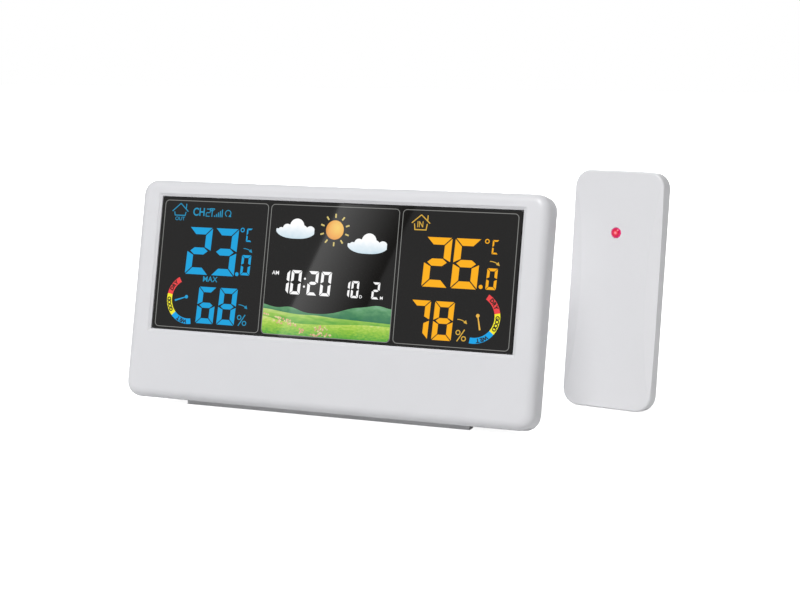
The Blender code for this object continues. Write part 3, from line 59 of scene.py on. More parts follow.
# ------------------------------------------------------------------ camera
# A long lens a little above the console and to its right, so that both units
# are seen almost flat on, with a narrow view of their right-hand sides.
CAMERA_PLACE = Vector((0.25392, -0.55371, 0.13757))
CAMERA_TURN = Vector((81.393, -0.152, 21.949))
LENS = 72.0
FILM_WIDTH = 36.0
NEAR_LIMIT = 0.01


def put_in_scene(name, data):
    thing = bpy.data.objects.new(name, data)
    bpy.context.scene.collection.objects.link(thing)
    return thing


camera_data = bpy.data.cameras.new("catalogue_camera")
camera_data.lens = LENS
camera_data.sensor_width = FILM_WIDTH
camera_data.clip_start = NEAR_LIMIT
camera = put_in_scene("catalogue_camera", camera_data)
camera.location = CAMERA_PLACE
camera.rotation_euler = [math.radians(angle) for angle in CAMERA_TURN]
bpy.context.scene.camera = camera

# ------------------------------------------------------------------ studio
# White paper floor and two soft boxes. The key light stands high in front and a dark flag
# hangs to the right, so the fronts are bright and even and the right-hand sides fall into shade.
FLOOR_HALF = 6.0
FLOOR_GAP = 0.0001
AMBIENT_LEFT, AMBIENT_RIGHT = 0.44, 0.06
FLAG_EDGES = (-0.5, 0.7)
COOL_WHITE = (0.97, 0.98, 1.0)
WHITE = (1.0, 1.0, 1.0)
PAPER_WHITE = (0.78, 0.78, 0.78)
PAPER_ROUGHNESS = 0.9
PAPER_GLOW = 0.9


def soft_box(name, place, size, watts):
    """A round soft light aimed at the middle of the object."""
    light = bpy.data.lights.new(name, "AREA")
    light.shape = "DISK"
    light.size = size
    light.energy = watts
    lamp = put_in_scene(name, light)
    lamp.location = place
    aim = (cad_low + cad_high) / 2 - Vector(place)
    lamp.rotation_euler = aim.to_track_quat("-Z", "Y").to_euler()


def join(tree, source, socket):
    """Links an output to a socket, or sets the socket to a number, a point or a colour."""
    if isinstance(source, bpy.types.NodeSocket):
        tree.links.new(source, socket)
    elif socket.type == "RGBA":
        socket.default_value = (*source, 1.0)
    else:
        socket.default_value = source


def add_node(tree, kind, inputs, output=0, **settings):
    """A shader node with its settings and inputs, known by one of its outputs."""
    node = tree.nodes.new(f"ShaderNode{kind}")
    for setting, value in settings.items():
        setattr(node, setting, value)
    for socket, source in inputs.items():
        join(tree, source, node.inputs[socket])
    return node.outputs[output]


def maths(tree, operation, first, second):
    return add_node(tree, "Math", {0: first, 1: second}, operation=operation)


def map_range(tree, value, low, high, start=0.0, end=1.0, **settings):
    """Spreads a value that runs from start to end between two numbers or two sockets."""
    ends = {"From Min": start, "From Max": end, "To Min": low, "To Max": high}
    return add_node(tree, "MapRange", {"Value": value, **ends}, **settings)


def new_material(name):
    material = bpy.data.materials.new(name)
    material.use_nodes = True
    return material, material.node_tree, material.node_tree.nodes["Principled BSDF"]


def stage_sheet(name, half, material):
    """A flat square of the studio, which isn't part of the object."""
    flat = bmesh.new()
    bmesh.ops.create_grid(flat, x_segments=1, y_segments=1, size=half)
    mesh = bpy.data.meshes.new(name)
    flat.to_mesh(mesh)
    flat.free()
    mesh.materials.append(material)
    sheet = put_in_scene(name, mesh)
    return sheet


soft_box("key_light", (0.36, -1.6, 2.05), 1.2, 48.0)
soft_box("rear_light", (-0.5, 1.8, 0.8), 1.0, 26.0)

world = bpy.data.worlds.new("white_studio")
world.use_nodes = True
bpy.context.scene.world = world
sky = world.node_tree
sky.nodes.clear()
around = add_node(sky, "TexCoord", {}, "Generated")
heading = add_node(sky, "SeparateXYZ", {"Vector": around}, "X")
levels = (AMBIENT_LEFT, AMBIENT_RIGHT, *FLAG_EDGES)
flag = map_range(sky, heading, *levels, interpolation_type="SMOOTHSTEP")
ambient = add_node(sky, "Background", {"Color": COOL_WHITE, "Strength": flag})
seen = add_node(sky, "Background", {"Color": WHITE})
ray = add_node(sky, "LightPath", {}, "Is Camera Ray")
chosen = add_node(sky, "MixShader", {"Fac": ray, 1: ambient, 2: seen})
join(sky, chosen, sky.nodes.new("ShaderNodeOutputWorld").inputs["Surface"])
bpy.context.scene.view_settings.view_transform = "Standard"

paper, tree, shader = new_material("white_paper")
join(tree, PAPER_WHITE, shader.inputs["Base Color"])
join(tree, PAPER_ROUGHNESS, shader.inputs["Roughness"])
glow = maths(tree, "MULTIPLY", add_node(tree, "LightPath", {}, "Is Camera Ray"), PAPER_GLOW)
lit_paper = add_node(tree, "Emission", {"Color": WHITE, "Strength": glow})
paper_sum = add_node(tree, "AddShader", {0: shader.outputs["BSDF"], 1: lit_paper})
join(tree, paper_sum, tree.nodes["Material Output"].inputs["Surface"])
floor = stage_sheet("paper_floor", FLOOR_HALF, paper)
floor.location.z = cad_low.z - FLOOR_GAP

# ------------------------------------------------------------------ white mouldings of the console
# Two ABS shells, the battery door and the fold-out stand, all moulded in the same satin white.
# The tool's spark-eroded skin shows as a very soft grain, with faint flow marks.
CASE_WHITE = (0.755, 0.755, 0.775)
CASE_LEAN = math.radians(12.4)
LEANING = Matrix.Rotation(-CASE_LEAN, 4, "X")
FLAT_FACETS = math.radians(0.3)
SAME_POINT = 0.001 * MM
HARD_CORNER = 32.0


def on_object(tree):
    return add_node(tree, "TexCoord", {}, "Object")


def noise_in(tree, scale, detail, coordinates):
    """A noise texture over object coordinates, its scale given in features per metre."""
    return add_node(tree, "TexNoise", {"Scale": scale, "Detail": detail, "Vector": coordinates})


def scaled_colour(tree, colour, factor):
    """A colour multiplied by a brightness that varies."""
    return add_node(tree, "VectorMath", {0: colour, "Scale": factor}, operation="SCALE")


def shader_group(name, inputs, outputs):
    """An empty node group, the sockets given to it and put out by it, and the place it colours."""
    group = bpy.data.node_groups.new(name, "ShaderNodeTree")
    for title, value in inputs.items():
        kind = "NodeSocketColor" if isinstance(value, tuple) else "NodeSocketFloat"
        socket = group.interface.new_socket(name=title, in_out="INPUT", socket_type=kind)
        socket.default_value = (*value, 1.0) if isinstance(value, tuple) else value
    for title in outputs:
        kind = "NodeSocketColor" if title == "Colour" else "NodeSocketFloat"
        group.interface.new_socket(name=title, in_out="OUTPUT", socket_type=kind)
    given = group.nodes.new("NodeGroupInput").outputs
    result = group.nodes.new("NodeGroupOutput").inputs
    return group, given, result, on_object(group)


def make_moulded_skin():
    """Satin moulded plastic: a fine skin, faint flow marks and handling polish."""
    inputs = {"Colour": CASE_WHITE, "Roughness": 0.35, "Variation": 0.02, "Grain": 1.0}
    outputs = ("Colour", "Roughness", "Height")
    group, given, result, place = shader_group("moulded_skin", inputs, outputs)
    flow_marks = noise_in(group, 22.0, 3.0, place)
    polish = noise_in(group, 90.0, 4.0, place)
    skin = noise_in(group, 5200.0, 2.0, place)
    less = maths(group, "SUBTRACT", 1.0, given["Variation"])
    more = maths(group, "ADD", 1.0, given["Variation"])
    shade = map_range(group, flow_marks, less, more)
    join(group, scaled_colour(group, given["Colour"], shade), result["Colour"])
    gloss = map_range(group, polish, 0.82, 1.18)
    join(group, maths(group, "MULTIPLY", given["Roughness"], gloss), result["Roughness"])
    join(group, maths(group, "MULTIPLY", skin, given["Grain"]), result["Height"])
    return group


MOULDED_SKIN = make_moulded_skin()


def finished(name, group, values, relief):
    """A material whose look comes from a node group set to these values, and its shader."""
    material, tree, shader = new_material(name)
    skin = tree.nodes.new("ShaderNodeGroup")
    skin.node_tree = group
    for title, value in values.items():
        join(tree, value, skin.inputs[title])
    sockets = {"Colour": "Base Color", "Roughness": "Roughness", "Metal": "Metallic"}
    for output in skin.outputs:
        if output.name in sockets:
            join(tree, output, shader.inputs[sockets[output.name]])
    bump = add_node(tree, "Bump", {"Distance": relief, "Height": skin.outputs["Height"]})
    join(tree, bump, shader.inputs["Normal"])
    return material, shader


def moulded(name, colour, roughness, variation=0.02, grain=1.0, relief=0.004 * MM):
    """A plastic or rubber whose colour, gloss and skin come from the moulded_skin group."""
    values = {"Colour": colour, "Roughness": roughness, "Variation": variation, "Grain": grain}
    return finished(name, MOULDED_SKIN, values, relief)[0]


def smooth_over(shape, sharp=HARD_CORNER):
    """Smooth shading everywhere but over hard corners."""
    for face in shape.faces:
        face.smooth = True
    for edge in shape.edges:
        edge.smooth = edge.calc_face_angle(math.pi) < math.radians(sharp)


def place_piece(name, shape, turned, body, slot, *materials):
    """Turns a bmesh drawn in a unit's own frame into a piece that rides on a body."""
    shape.transform(turned)
    mesh = bpy.data.meshes.new(name)
    shape.to_mesh(mesh)
    shape.free()
    for material in materials:
        mesh.materials.append(material)
    piece = put_in_scene(name, mesh)
    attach(piece, body)
    return piece


def finer(node, name, turned, body, slot, material, sharp=HARD_CORNER, creased=None):
    """Shows a node as a piece of the same shape, its flat facets joined and its rounds smooth."""
    shape = bmesh.new()
    shape.from_mesh(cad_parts[node].data)
    shape.transform(turned.inverted())
    bmesh.ops.remove_doubles(shape, verts=shape.verts, dist=SAME_POINT)
    whole = {"verts": shape.verts, "edges": shape.edges}
    bmesh.ops.dissolve_limit(shape, angle_limit=FLAT_FACETS, **whole)
    smooth_over(shape, sharp)
    for edge in shape.edges:
        if creased and all(creased(vert.co) for vert in edge.verts):
            edge.smooth = False
    piece = place_piece(name, shape, turned, body, slot, material)
    weighted = piece.modifiers.new("flats_stay_flat", "WEIGHTED_NORMAL")
    weighted.keep_sharp = True
    weighted.weight = 100
    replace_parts(piece, node)


white_abs = moulded("white_abs", CASE_WHITE, 0.33)
for node, body in (
    ("front_case", "console"),
    ("rear_case", "console"),
    ("battery_door", "battery_door"),
    ("stand", "stand"),
):
    finer(node, f"{node}_moulding", LEANING, body, "case_white", white_abs)

# ------------------------------------------------------------------ display window
# A 1.5 mm acrylic window, tinted and printed black behind, glued into the recess of the front.
# It is the only polished surface of the console, so it alone mirrors the studio.
WINDOW_BLACK = (0.0075, 0.0068, 0.0062)
SMEARED_BLACK = (0.0095, 0.0088, 0.0078)
WINDOW_ROUGHNESS = 0.03


def points_of(node, turned):
    """A node's points in its unit's own frame."""
    back = turned.inverted()
    return [back @ vert.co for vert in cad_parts[node].data.vertices]


def turned_box(node, turned):
    """A node's lowest and highest corner in its unit's own frame."""
    places = points_of(node, turned)
    low = Vector(min(place[axis] for place in places) for axis in range(3))
    high = Vector(max(place[axis] for place in places) for axis in range(3))
    return low, high


WINDOW_LOW, WINDOW_HIGH = turned_box("display_window", LEANING)
WINDOW_MIDDLE = (WINDOW_LOW + WINDOW_HIGH) / 2
GLASS = WINDOW_LOW.y

acrylic, tree, shader = new_material("tinted_acrylic")
smears = noise_in(tree, 60.0, 5.0, on_object(tree))
join(tree, map_range(tree, smears, 0.02, 0.04), shader.inputs["Roughness"])
shades = {"Factor": smears, "A": WINDOW_BLACK, "B": SMEARED_BLACK}
join(tree, add_node(tree, "Mix", shades, "Result", data_type="RGBA"), shader.inputs["Base Color"])
finer("display_window", "window_pane", LEANING, "console", "window", acrylic)

# A tall soft card hangs beyond the camera. It is seen only in polished surfaces, where its
# straight edge draws a slanting line across the window and its light fades to the right.
GLARE_TOP = (2.4, 27.0)
GLARE_FOOT = (-20.0, -27.0)
GLARE_ASIDE = 10.0
GLARE_REACH = 0.9
GLARE_WIDTH = 0.066
GLARE_STRETCH = 1.6
GLARE_FALL = 1.3
GLARE_GLOW = 2.1


def on_window(across, up, proud=0.0):
    """A point in the console's frame, in mm from the middle of the window."""
    return Vector((WINDOW_MIDDLE.x + across * MM, GLASS - proud * MM, WINDOW_MIDDLE.z + up * MM))


def mirrored_from(across, up):
    """Where the card's point must hang to be seen from the camera at this place on the window."""
    place = LEANING @ on_window(across, up)
    face = LEANING.to_3x3() @ Vector((0.0, -1.0, 0.0))
    sight = (place - CAMERA_PLACE).normalized()
    return place + GLARE_REACH * (sight - 2.0 * sight.dot(face) * face)


fade, tree, shader = new_material("fading_card")
tree.nodes.remove(shader)
across_card = add_node(tree, "SeparateXYZ", {"Vector": on_object(tree)}, "X")
fall = maths(tree, "POWER", map_range(tree, across_card, 1.0, 0.0, -0.5, 0.5), GLARE_FALL)
glow = add_node(tree, "Emission", {"Strength": maths(tree, "MULTIPLY", fall, GLARE_GLOW)})
join(tree, glow, tree.nodes["Material Output"].inputs["Surface"])

edge_top = mirrored_from(*GLARE_TOP)
edge_foot = mirrored_from(*GLARE_FOOT)
beside = mirrored_from(GLARE_TOP[0] + GLARE_ASIDE, GLARE_TOP[1]) - edge_top
upward = (edge_top - edge_foot).normalized()
outward = (beside - upward * beside.dot(upward)).normalized()
card_length = (edge_top - edge_foot).length * GLARE_STRETCH
card_middle = (edge_top + edge_foot) / 2 + outward * GLARE_WIDTH / 2
card_turn = Matrix((outward, upward, outward.cross(upward))).transposed().to_4x4()
card_size = Matrix.Diagonal((GLARE_WIDTH, card_length, 1.0, 1.0))
glare_card = stage_sheet("glare_card", 0.5, fade)
glare_card.matrix_world = Matrix.Translation(card_middle) @ card_turn @ card_size
glare_card.visible_camera = False
glare_card.visible_diffuse = False
glare_card.visible_shadow = False

# ------------------------------------------------------------------ panels of the display
# The LCD is printed with three rounded fields, each outlined in a fine grey line.
# They lie under the window in the real unit, and here as a skin on its front.
PRINT_STEP = 0.012
PRINT_BLACK = (0.004, 0.004, 0.004)
PANEL_CORNER = 1.7
LINE = 0.26
PANEL_LOW, PANEL_HIGH = -25.8, 25.4
PANELS = {"outdoor": (-74.8, -28.3), "weather": (-27.2, 27.3), "indoor": (28.5, 74.8)}


def front_and_back(art, points, layer):
    """The two skins of a print, for a line of (across, up) points."""
    depths = (PRINT_STEP * (layer + 1), -PRINT_STEP)
    return [[art.verts.new(on_window(x, y, depth)) for x, y in points] for depth in depths]


def add_band(art, one_side, other_side, closed=False, layer=1):
    """A thin raised strip between two lines of (across, up) points of equal number."""
    count = len(one_side)
    front_a, back_a = front_and_back(art, one_side, layer)
    front_b, back_b = front_and_back(art, other_side, layer)
    for i in range(count if closed else count - 1):
        j = (i + 1) % count
        art.faces.new((front_a[i], front_a[j], front_b[j], front_b[i]))
        art.faces.new((back_a[j], back_a[i], back_b[i], back_b[j]))
        art.faces.new((front_a[j], front_a[i], back_a[i], back_a[j]))
        art.faces.new((front_b[i], front_b[j], back_b[j], back_b[i]))
    if not closed:
        art.faces.new((front_a[0], front_b[0], back_b[0], back_a[0]))
        art.faces.new((front_b[-1], front_a[-1], back_a[-1], back_b[-1]))


def add_plate(art, outline, layer=1):
    """A thin raised shape inside a closed outline of (across, up) points."""
    front, back = front_and_back(art, outline, layer)
    art.faces.new(front)
    art.faces.new(back[::-1])
    for i, point in enumerate(front):
        j = (i + 1) % len(front)
        art.faces.new((front[j], point, back[i], back[j]))


def arc(middle, radius, start, end, steps):
    """Points on an arc from one angle to another, in degrees anticlockwise from the right."""
    angles = [math.radians(start + (end - start) * i / steps) for i in range(steps + 1)]
    return [(middle[0] + radius * math.cos(a), middle[1] + radius * math.sin(a)) for a in angles]


def rounded(left, right, inset):
    """A field's outline with round corners, set in from its edge."""
    corner = PANEL_CORNER - inset
    xs = (left + inset + corner, right - inset - corner)
    ys = (PANEL_LOW + inset + corner, PANEL_HIGH - inset - corner)
    points = []
    for x, y, start in ((1, 1, 0.0), (0, 1, 90.0), (0, 0, 180.0), (1, 0, 270.0)):
        points += arc((xs[x], ys[y]), corner, start, start + 90.0, 7)
    return points


def print_on_window(name, art, material):
    """Closes a layer of the display and fixes it to the console."""
    bmesh.ops.recalc_face_normals(art, faces=art.faces)
    place_piece(name, art, LEANING, "console", "lcd_glass", material)


def make_backlit():
    """Light through printed film: a little brighter near each lamp of the backlight."""
    inputs = {"Colour": WHITE, "Unevenness": 0.06}
    group, given, result, place = shader_group("backlit_film", inputs, ("Colour",))
    less = maths(group, "SUBTRACT", 1.0, given["Unevenness"])
    shade = map_range(group, noise_in(group, 45.0, 2.0, place), less, 1.0)
    join(group, scaled_colour(group, given["Colour"], shade), result["Colour"])
    return group


BACKLIT = make_backlit()


def printed(name):
    """A print under the window's own polish, black until its colours are lit."""
    material, tree, shader = new_material(name)
    join(tree, PRINT_BLACK, shader.inputs["Base Color"])
    join(tree, WINDOW_ROUGHNESS, shader.inputs["Roughness"])
    join(tree, 1.0, shader.inputs["Emission Strength"])
    return material, tree, shader


def lit(name, colour, unevenness=0.06):
    """A lit part of the display, in linear colour."""
    material, tree, shader = printed(name)
    film = tree.nodes.new("ShaderNodeGroup")
    film.node_tree = BACKLIT
    join(tree, colour, film.inputs["Colour"])
    join(tree, unevenness, film.inputs["Unevenness"])
    join(tree, film.outputs["Colour"], shader.inputs["Emission Color"])
    return material


fields = bmesh.new()
lines = bmesh.new()
for edges in PANELS.values():
    outer = rounded(*edges, 0.0)
    add_plate(fields, outer, layer=0)
    add_band(lines, outer, rounded(*edges, LINE), closed=True, layer=4)
print_on_window("display_fields", fields, lit("unlit_film", (0.0062, 0.0055, 0.0048), 0.3))
print_on_window("field_outlines", lines, lit("outline_print", (0.235, 0.235, 0.225)))

# ------------------------------------------------------------------ segment readings
# Seven-segment figures lean a little. Each segment is mitred at its ends, with a fine dark
# gap to the next: cyan for outdoors, amber for indoors and white for the clock and date.
SLANT = 0.034
LIT_SEGMENTS = {
    "0": "abcdef",
    "1": "bc",
    "2": "abdeg",
    "3": "abcdg",
    "6": "acdefg",
    "7": "abc",
    "8": "abcdefg",
    "C": "adef",
}
# Width, height, stroke and gap of each kind of figure, in mm
TEMPERATURE = (10.35, 18.85, 2.75, 0.3)
HUMIDITY = (7.8, 14.6, 2.1, 0.24)
TENTHS = (4.1, 8.0, 1.05, 0.16)
DEGREES = (2.5, 5.3, 0.62, 0.12)
CLOCK = (4.35, 9.4, 1.15, 0.17)
DATE = (3.1, 6.5, 0.82, 0.13)
CHANNEL = (2.0, 3.2, 0.34, 0.05)


def add_figures(art, text, lefts, low, kind):
    """A row of figures. The segments a to g of each run clockwise from the top, g the middle."""
    far, high, stroke, gap = kind
    mid = high / 2
    half = stroke / 2
    inner = far - stroke
    shelf = high - stroke
    under = shelf - gap
    above, below = mid + half + gap, mid - half - gap
    point = half * 0.7 + gap
    segments = {
        "a": [(gap, high), (far - gap, high), (inner - gap, shelf), (stroke + gap, shelf)],
        "b": [(far, high - gap), (far, mid + gap), (inner, above), (inner, under)],
        "c": [(far, mid - gap), (far, gap), (inner, stroke + gap), (inner, below)],
        "d": [(gap, 0), (stroke + gap, stroke), (inner - gap, stroke), (far - gap, 0)],
        "e": [(0, gap), (0, mid - gap), (stroke, below), (stroke, stroke + gap)],
        "f": [(0, mid + gap), (0, high - gap), (stroke, under), (stroke, above)],
        "g": [(point, mid), (stroke + gap, mid + half), (inner - gap, mid + half)],
    }
    segments["g"] += [(far - point, mid), (inner - gap, mid - half), (stroke + gap, mid - half)]
    for figure, left in zip(text, lefts):
        for name in LIT_SEGMENTS[figure]:
            add_plate(art, [(left + x + SLANT * y, low + y) for x, y in segments[name]])


def circle(middle, radius, steps):
    return arc(middle, radius, 0.0, 360.0 - 360.0 / steps, steps - 1)


def add_spot(art, middle, radius, steps=24):
    add_plate(art, circle(middle, radius, steps))


def add_ring(art, middle, radius, line):
    steps = 28
    outer, inner = circle(middle, radius, steps), circle(middle, radius - line, steps)
    add_band(art, outer, inner, closed=True)


cyan = bmesh.new()
add_figures(cyan, "23", (-63.2, -51.55), -4.1, TEMPERATURE)
add_spot(cyan, (-39.9, -3.1), 0.78)
add_figures(cyan, "0", (-38.5,), -3.4, TENTHS)
add_figures(cyan, "68", (-56.5, -47.1), -23.5, HUMIDITY)
add_ring(cyan, (-39.0, 14.5), 0.9, 0.36)
add_figures(cyan, "C", (-37.2,), 9.9, DEGREES)
amber = bmesh.new()
add_figures(amber, "26", (38.35, 49.95), -3.6, TEMPERATURE)
add_spot(amber, (61.9, -2.5), 0.78)
add_figures(amber, "0", (63.75,), -3.4, TENTHS)
add_figures(amber, "78", (34.5, 44.0), -23.4, HUMIDITY)
add_ring(amber, (63.1, 14.6), 0.9, 0.36)
add_figures(amber, "C", (65.1,), 9.9, DEGREES)
white = bmesh.new()
add_figures(white, "1020", (-21.3, -16.25, -9.0, -3.5), -9.6, CLOCK)
add_spot(white, (-10.1, -3.3), 0.42)
add_spot(white, (-10.25, -6.4), 0.42)
add_figures(white, "102", (5.9, 9.65, 18.3), -9.6, DATE)

# ------------------------------------------------------------------ labels and small signs
# Printed signs round the figures: a house for each side, the channel with its radio mast and
# bars, trend arrows, percent signs, and plain words such as IN and OUT.
CAPITAL = 0.7
THIN = 0.34


def add_words(art, words, middle, height, turn=0.0, weight=0.0, squeeze=1.0, layer=1):
    """Plain capitals centred on a point, turned anticlockwise by an angle in degrees."""
    curve = bpy.data.curves.new("words", "FONT")
    curve.body = words
    curve.size = height * MM / CAPITAL
    curve.align_x = "CENTER"
    curve.align_y = "CENTER"
    curve.offset = weight * MM
    curve.extrude = PRINT_STEP * (layer + 2) * MM / 2
    curve.resolution_u = 4
    maker = put_in_scene("words", curve)
    graph = bpy.context.evaluated_depsgraph_get()
    mesh = bpy.data.meshes.new_from_object(maker.evaluated_get(graph))
    stand_up = Matrix.Rotation(math.pi / 2, 4, "X")
    flat_turn = Matrix.Rotation(math.radians(turn), 4, "Z")
    narrow = Matrix.Diagonal((squeeze, 1.0, 1.0, 1.0))
    place = Matrix.Translation(on_window(*middle, PRINT_STEP * layer / 2))
    mesh.transform(place @ stand_up @ flat_turn @ narrow)
    art.from_mesh(mesh)
    bpy.data.objects.remove(maker)
    bpy.data.curves.remove(curve)
    bpy.data.meshes.remove(mesh)


def add_stroke(art, points, width, layer=1):
    """A line of even width through (across, up) points."""
    sides = ([], [])
    for i, point in enumerate(points):
        before = Vector(points[max(i - 1, 0)])
        after = Vector(points[min(i + 1, len(points) - 1)])
        along = (after - before).normalized()
        across = Vector((-along.y, along.x)) * width / 2
        sides[0].append(tuple(Vector(point) + across))
        sides[1].append(tuple(Vector(point) - across))
    add_band(art, *sides, layer=layer)


def add_house(art, x, base, half, eave, peak, line):
    """A house sign: a pitched roof, a chimney on its right and two walls on a sill."""
    wall = 2.6
    foot = wall * 0.86
    add_stroke(art, [(x - half, eave), (x, peak)], line)
    add_stroke(art, [(x, peak), (x + half, eave)], line)
    chimney = x + half * 0.72
    add_stroke(art, [(chimney, eave + (peak - eave) * 0.35), (chimney, peak - 0.1)], line)
    for side in (-1, 1):
        add_stroke(art, [(x + side * wall, eave - 0.2), (x + side * foot, base)], line)
    sill = base + line / 2
    add_stroke(art, [(x - foot, sill), (x + foot, sill)], line)


def add_trend(art, left, middle):
    """A trend arrow: a shallow bow that ends in a head pointing down to the right."""
    bow = arc((left + 0.6, middle - 5.2), 5.4, 92.0, 58.0, 8)
    add_stroke(art, bow, 0.3)
    x, y = bow[-1]
    add_plate(art, [(x + 0.9, y - 0.75), (x - 0.55, y - 0.35), (x + 0.35, y + 0.75)])


def add_percent(art, left, low):
    add_ring(art, (left + 0.95, low + 3.3), 0.98, 0.38)
    add_ring(art, (left + 3.3, low + 1.1), 0.98, 0.38)
    add_stroke(art, [(left + 0.7, low), (left + 3.5, low + 4.5)], 0.42)


small_cyan = bmesh.new()
add_house(small_cyan, -67.7, 19.1, 3.6, 20.9, 24.1, 0.38)
add_words(small_cyan, "OUT", (-67.6, 17.9), 1.45, weight=0.02)
add_words(small_cyan, "MAX", (-51.6, -5.85), 2.15, weight=0.035)
add_trend(small_cyan, -38.3, 7.0)
add_percent(small_cyan, -38.1, -23.4)
add_trend(small_cyan, -38.3, -15.3)
add_words(small_cyan, "CH", (-59.2, 20.8), 3.1, weight=0.09, squeeze=0.86)
add_figures(small_cyan, "2", (-56.1,), 19.2, CHANNEL)
add_stroke(small_cyan, [(-54.4, 22.5), (-53.3, 21.2), (-52.2, 22.5)], THIN)
add_stroke(small_cyan, [(-54.4, 22.45), (-52.2, 22.45)], THIN)
add_stroke(small_cyan, [(-53.3, 22.4), (-53.3, 19.2)], 0.4)
for bar in range(5):
    x = -52.1 + 0.84 * bar
    add_stroke(small_cyan, [(x, 19.2), (x, 19.8 + 0.62 * bar)], 0.44)
add_stroke(small_cyan, arc((-46.1, 20.8), 1.25, 250.0, -40.0, 16), THIN)
add_plate(small_cyan, [(-45.9, 19.5), (-44.6, 19.4), (-45.0, 20.7)])
small_amber = bmesh.new()
add_house(small_amber, 36.1, 17.6, 3.7, 20.3, 23.5, 0.4)
add_words(small_amber, "IN", (35.9, 19.75), 2.3, weight=0.03, squeeze=0.8)
add_trend(small_amber, 64.3, 7.0)
add_percent(small_amber, 53.5, -23.3)
add_trend(small_amber, 53.4, -15.3)
add_words(white, "AM", (-22.9, -1.65), 1.5, weight=0.02)
add_words(white, "D", (13.9, -9.05), 1.15, weight=0.02)
add_words(white, "M", (22.5, -9.05), 1.15, weight=0.02)

CYAN_LIGHT = (0.0, 0.37, 0.74)
AMBER_LIGHT = (1.0, 0.445, 0.0)
for name, art, print_name, colour in (
    ("outdoor_figures", cyan, "cyan_segments", CYAN_LIGHT),
    ("indoor_figures", amber, "amber_segments", AMBER_LIGHT),
    ("clock_figures", white, "white_segments", WHITE),
    ("outdoor_signs", small_cyan, "cyan_print", (0.01, 0.29, 0.52)),
    ("indoor_signs", small_amber, "amber_print", (0.72, 0.43, 0.05)),
):
    print_on_window(name, art, lit(print_name, colour))

# ------------------------------------------------------------------ comfort gauges
# A bow of three colours beside each humidity reading, from dry to wet, with a ball-ended
# needle. The two bows mirror each other about the middle of the display.
GAUGE_OUTER, GAUGE_INNER = 10.0, 7.8
GAUGE_WORDS = 1.45
GAUGE_LETTER_TURN = 9.4
GAUGE_PARTS = (("DRY", "red"), ("GOOD", "yellow"), ("WET", "blue"))
GAUGES = {
    "outdoor": ((-60.2, -14.15), (121.0, 169.0, 223.0, 279.5)),
    "indoor": ((60.5, -13.8), (60.0, 11.0, -38.0, -98.5)),
}
gauge_light = {
    "red": lit("gauge_red", (0.88, 0.055, 0.06)),
    "yellow": lit("gauge_yellow", (0.95, 0.86, 0.02)),
    "blue": lit("gauge_blue", (0.0, 0.38, 0.83)),
}
gauge_print = lit("gauge_lettering", (0.012, 0.010, 0.008))
for side, (middle, ends) in GAUGES.items():
    letters = bmesh.new()
    for (word, colour), start, end in zip(GAUGE_PARTS, ends, ends[1:]):
        bow = bmesh.new()
        add_band(bow, *[arc(middle, r, start, end, 14) for r in (GAUGE_OUTER, GAUGE_INNER)])
        print_on_window(f"{side}_gauge_{colour}", bow, gauge_light[colour])
        for index, letter in enumerate(word):
            angle = (start + end) / 2 - (index - (len(word) - 1) / 2) * GAUGE_LETTER_TURN
            point = arc(middle, (GAUGE_OUTER + GAUGE_INNER) / 2, angle, angle, 1)[0]
            add_words(letters, letter, point, GAUGE_WORDS, angle - 90.0, 0.11, layer=3)
    print_on_window(f"{side}_gauge_words", letters, gauge_print)


def add_needle(art, ball, tip):
    """A needle that tapers from its tip to the ball it turns on."""
    add_spot(art, ball, 0.72)
    along = (Vector(tip) - Vector(ball)).normalized()
    across = Vector((-along.y, along.x))
    root = Vector(ball) + along * 0.5
    end = Vector(tip)
    outline = [root + across * 0.2, end + across * 0.34, end - across * 0.34, root - across * 0.2]
    add_plate(art, [tuple(point) for point in outline])


for side, print_name, colour, ball, tip in (
    ("outdoor", "needle_cyan", (0.01, 0.36, 0.7), (-61.5, -13.3), (-66.6, -15.0)),
    ("indoor", "needle_amber", (0.85, 0.47, 0.06), (61.7, -13.3), (62.9, -18.6)),
):
    needle = bmesh.new()
    add_needle(needle, ball, tip)
    print_on_window(f"{side}_needle", needle, lit(print_name, colour))

# ------------------------------------------------------------------ forecast picture
# Printed in full colour behind the LCD: a sun with ten rays between two clouds.
SUN = (0.8, 16.2)
SUN_RADIUS = 3.75
SUN_GLOW = (SUN[0] + 1.2, SUN[1] + 0.9)
SUN_STOPS = [
    (0.0, (0.90, 0.62, 0.13)),
    (0.45, (0.86, 0.50, 0.10)),
    (0.8, (0.83, 0.38, 0.07)),
    (1.0, (0.70, 0.30, 0.06)),
]
RAYS = 10
RAY_ENDS = (4.75, 6.3)
RAY_WIDTH = 0.62
# Lobes along a cloud's top: across, up and radius, in mm from its lower left corner
CLOUD_LOBES = (
    (0.8, 3.2, 0.7),
    (2.4, 3.2, 1.2),
    (5.0, 3.9, 1.9),
    (9.2, 4.9, 3.1),
    (12.0, 3.6, 1.8),
    (15.0, 3.2, 2.0),
)
# Its underside: the middle, half width, height and depth of a flattened bow
CLOUD_BELLY = (8.8, 8.6, 3.3, 3.2)
CLOUD_STOPS = [
    (0.0, (0.42, 0.58, 0.68)),
    (0.25, (0.62, 0.76, 0.84)),
    (0.55, (0.80, 0.88, 0.93)),
    (0.8, (0.98, 0.99, 1.0)),
    (1.0, WHITE),
]
CLOUD_STEPS = 64
CLOUD_PLACES = ((-24.6, 12.0), (6.3, 7.5))


def picture(name):
    """A printed picture's material, its tree, its shader and the place on the upright window."""
    material, tree, shader = printed(name)
    turn = {"Vector": on_object(tree), "Rotation": (CASE_LEAN, 0.0, 0.0)}
    return material, tree, shader, add_node(tree, "Mapping", turn)


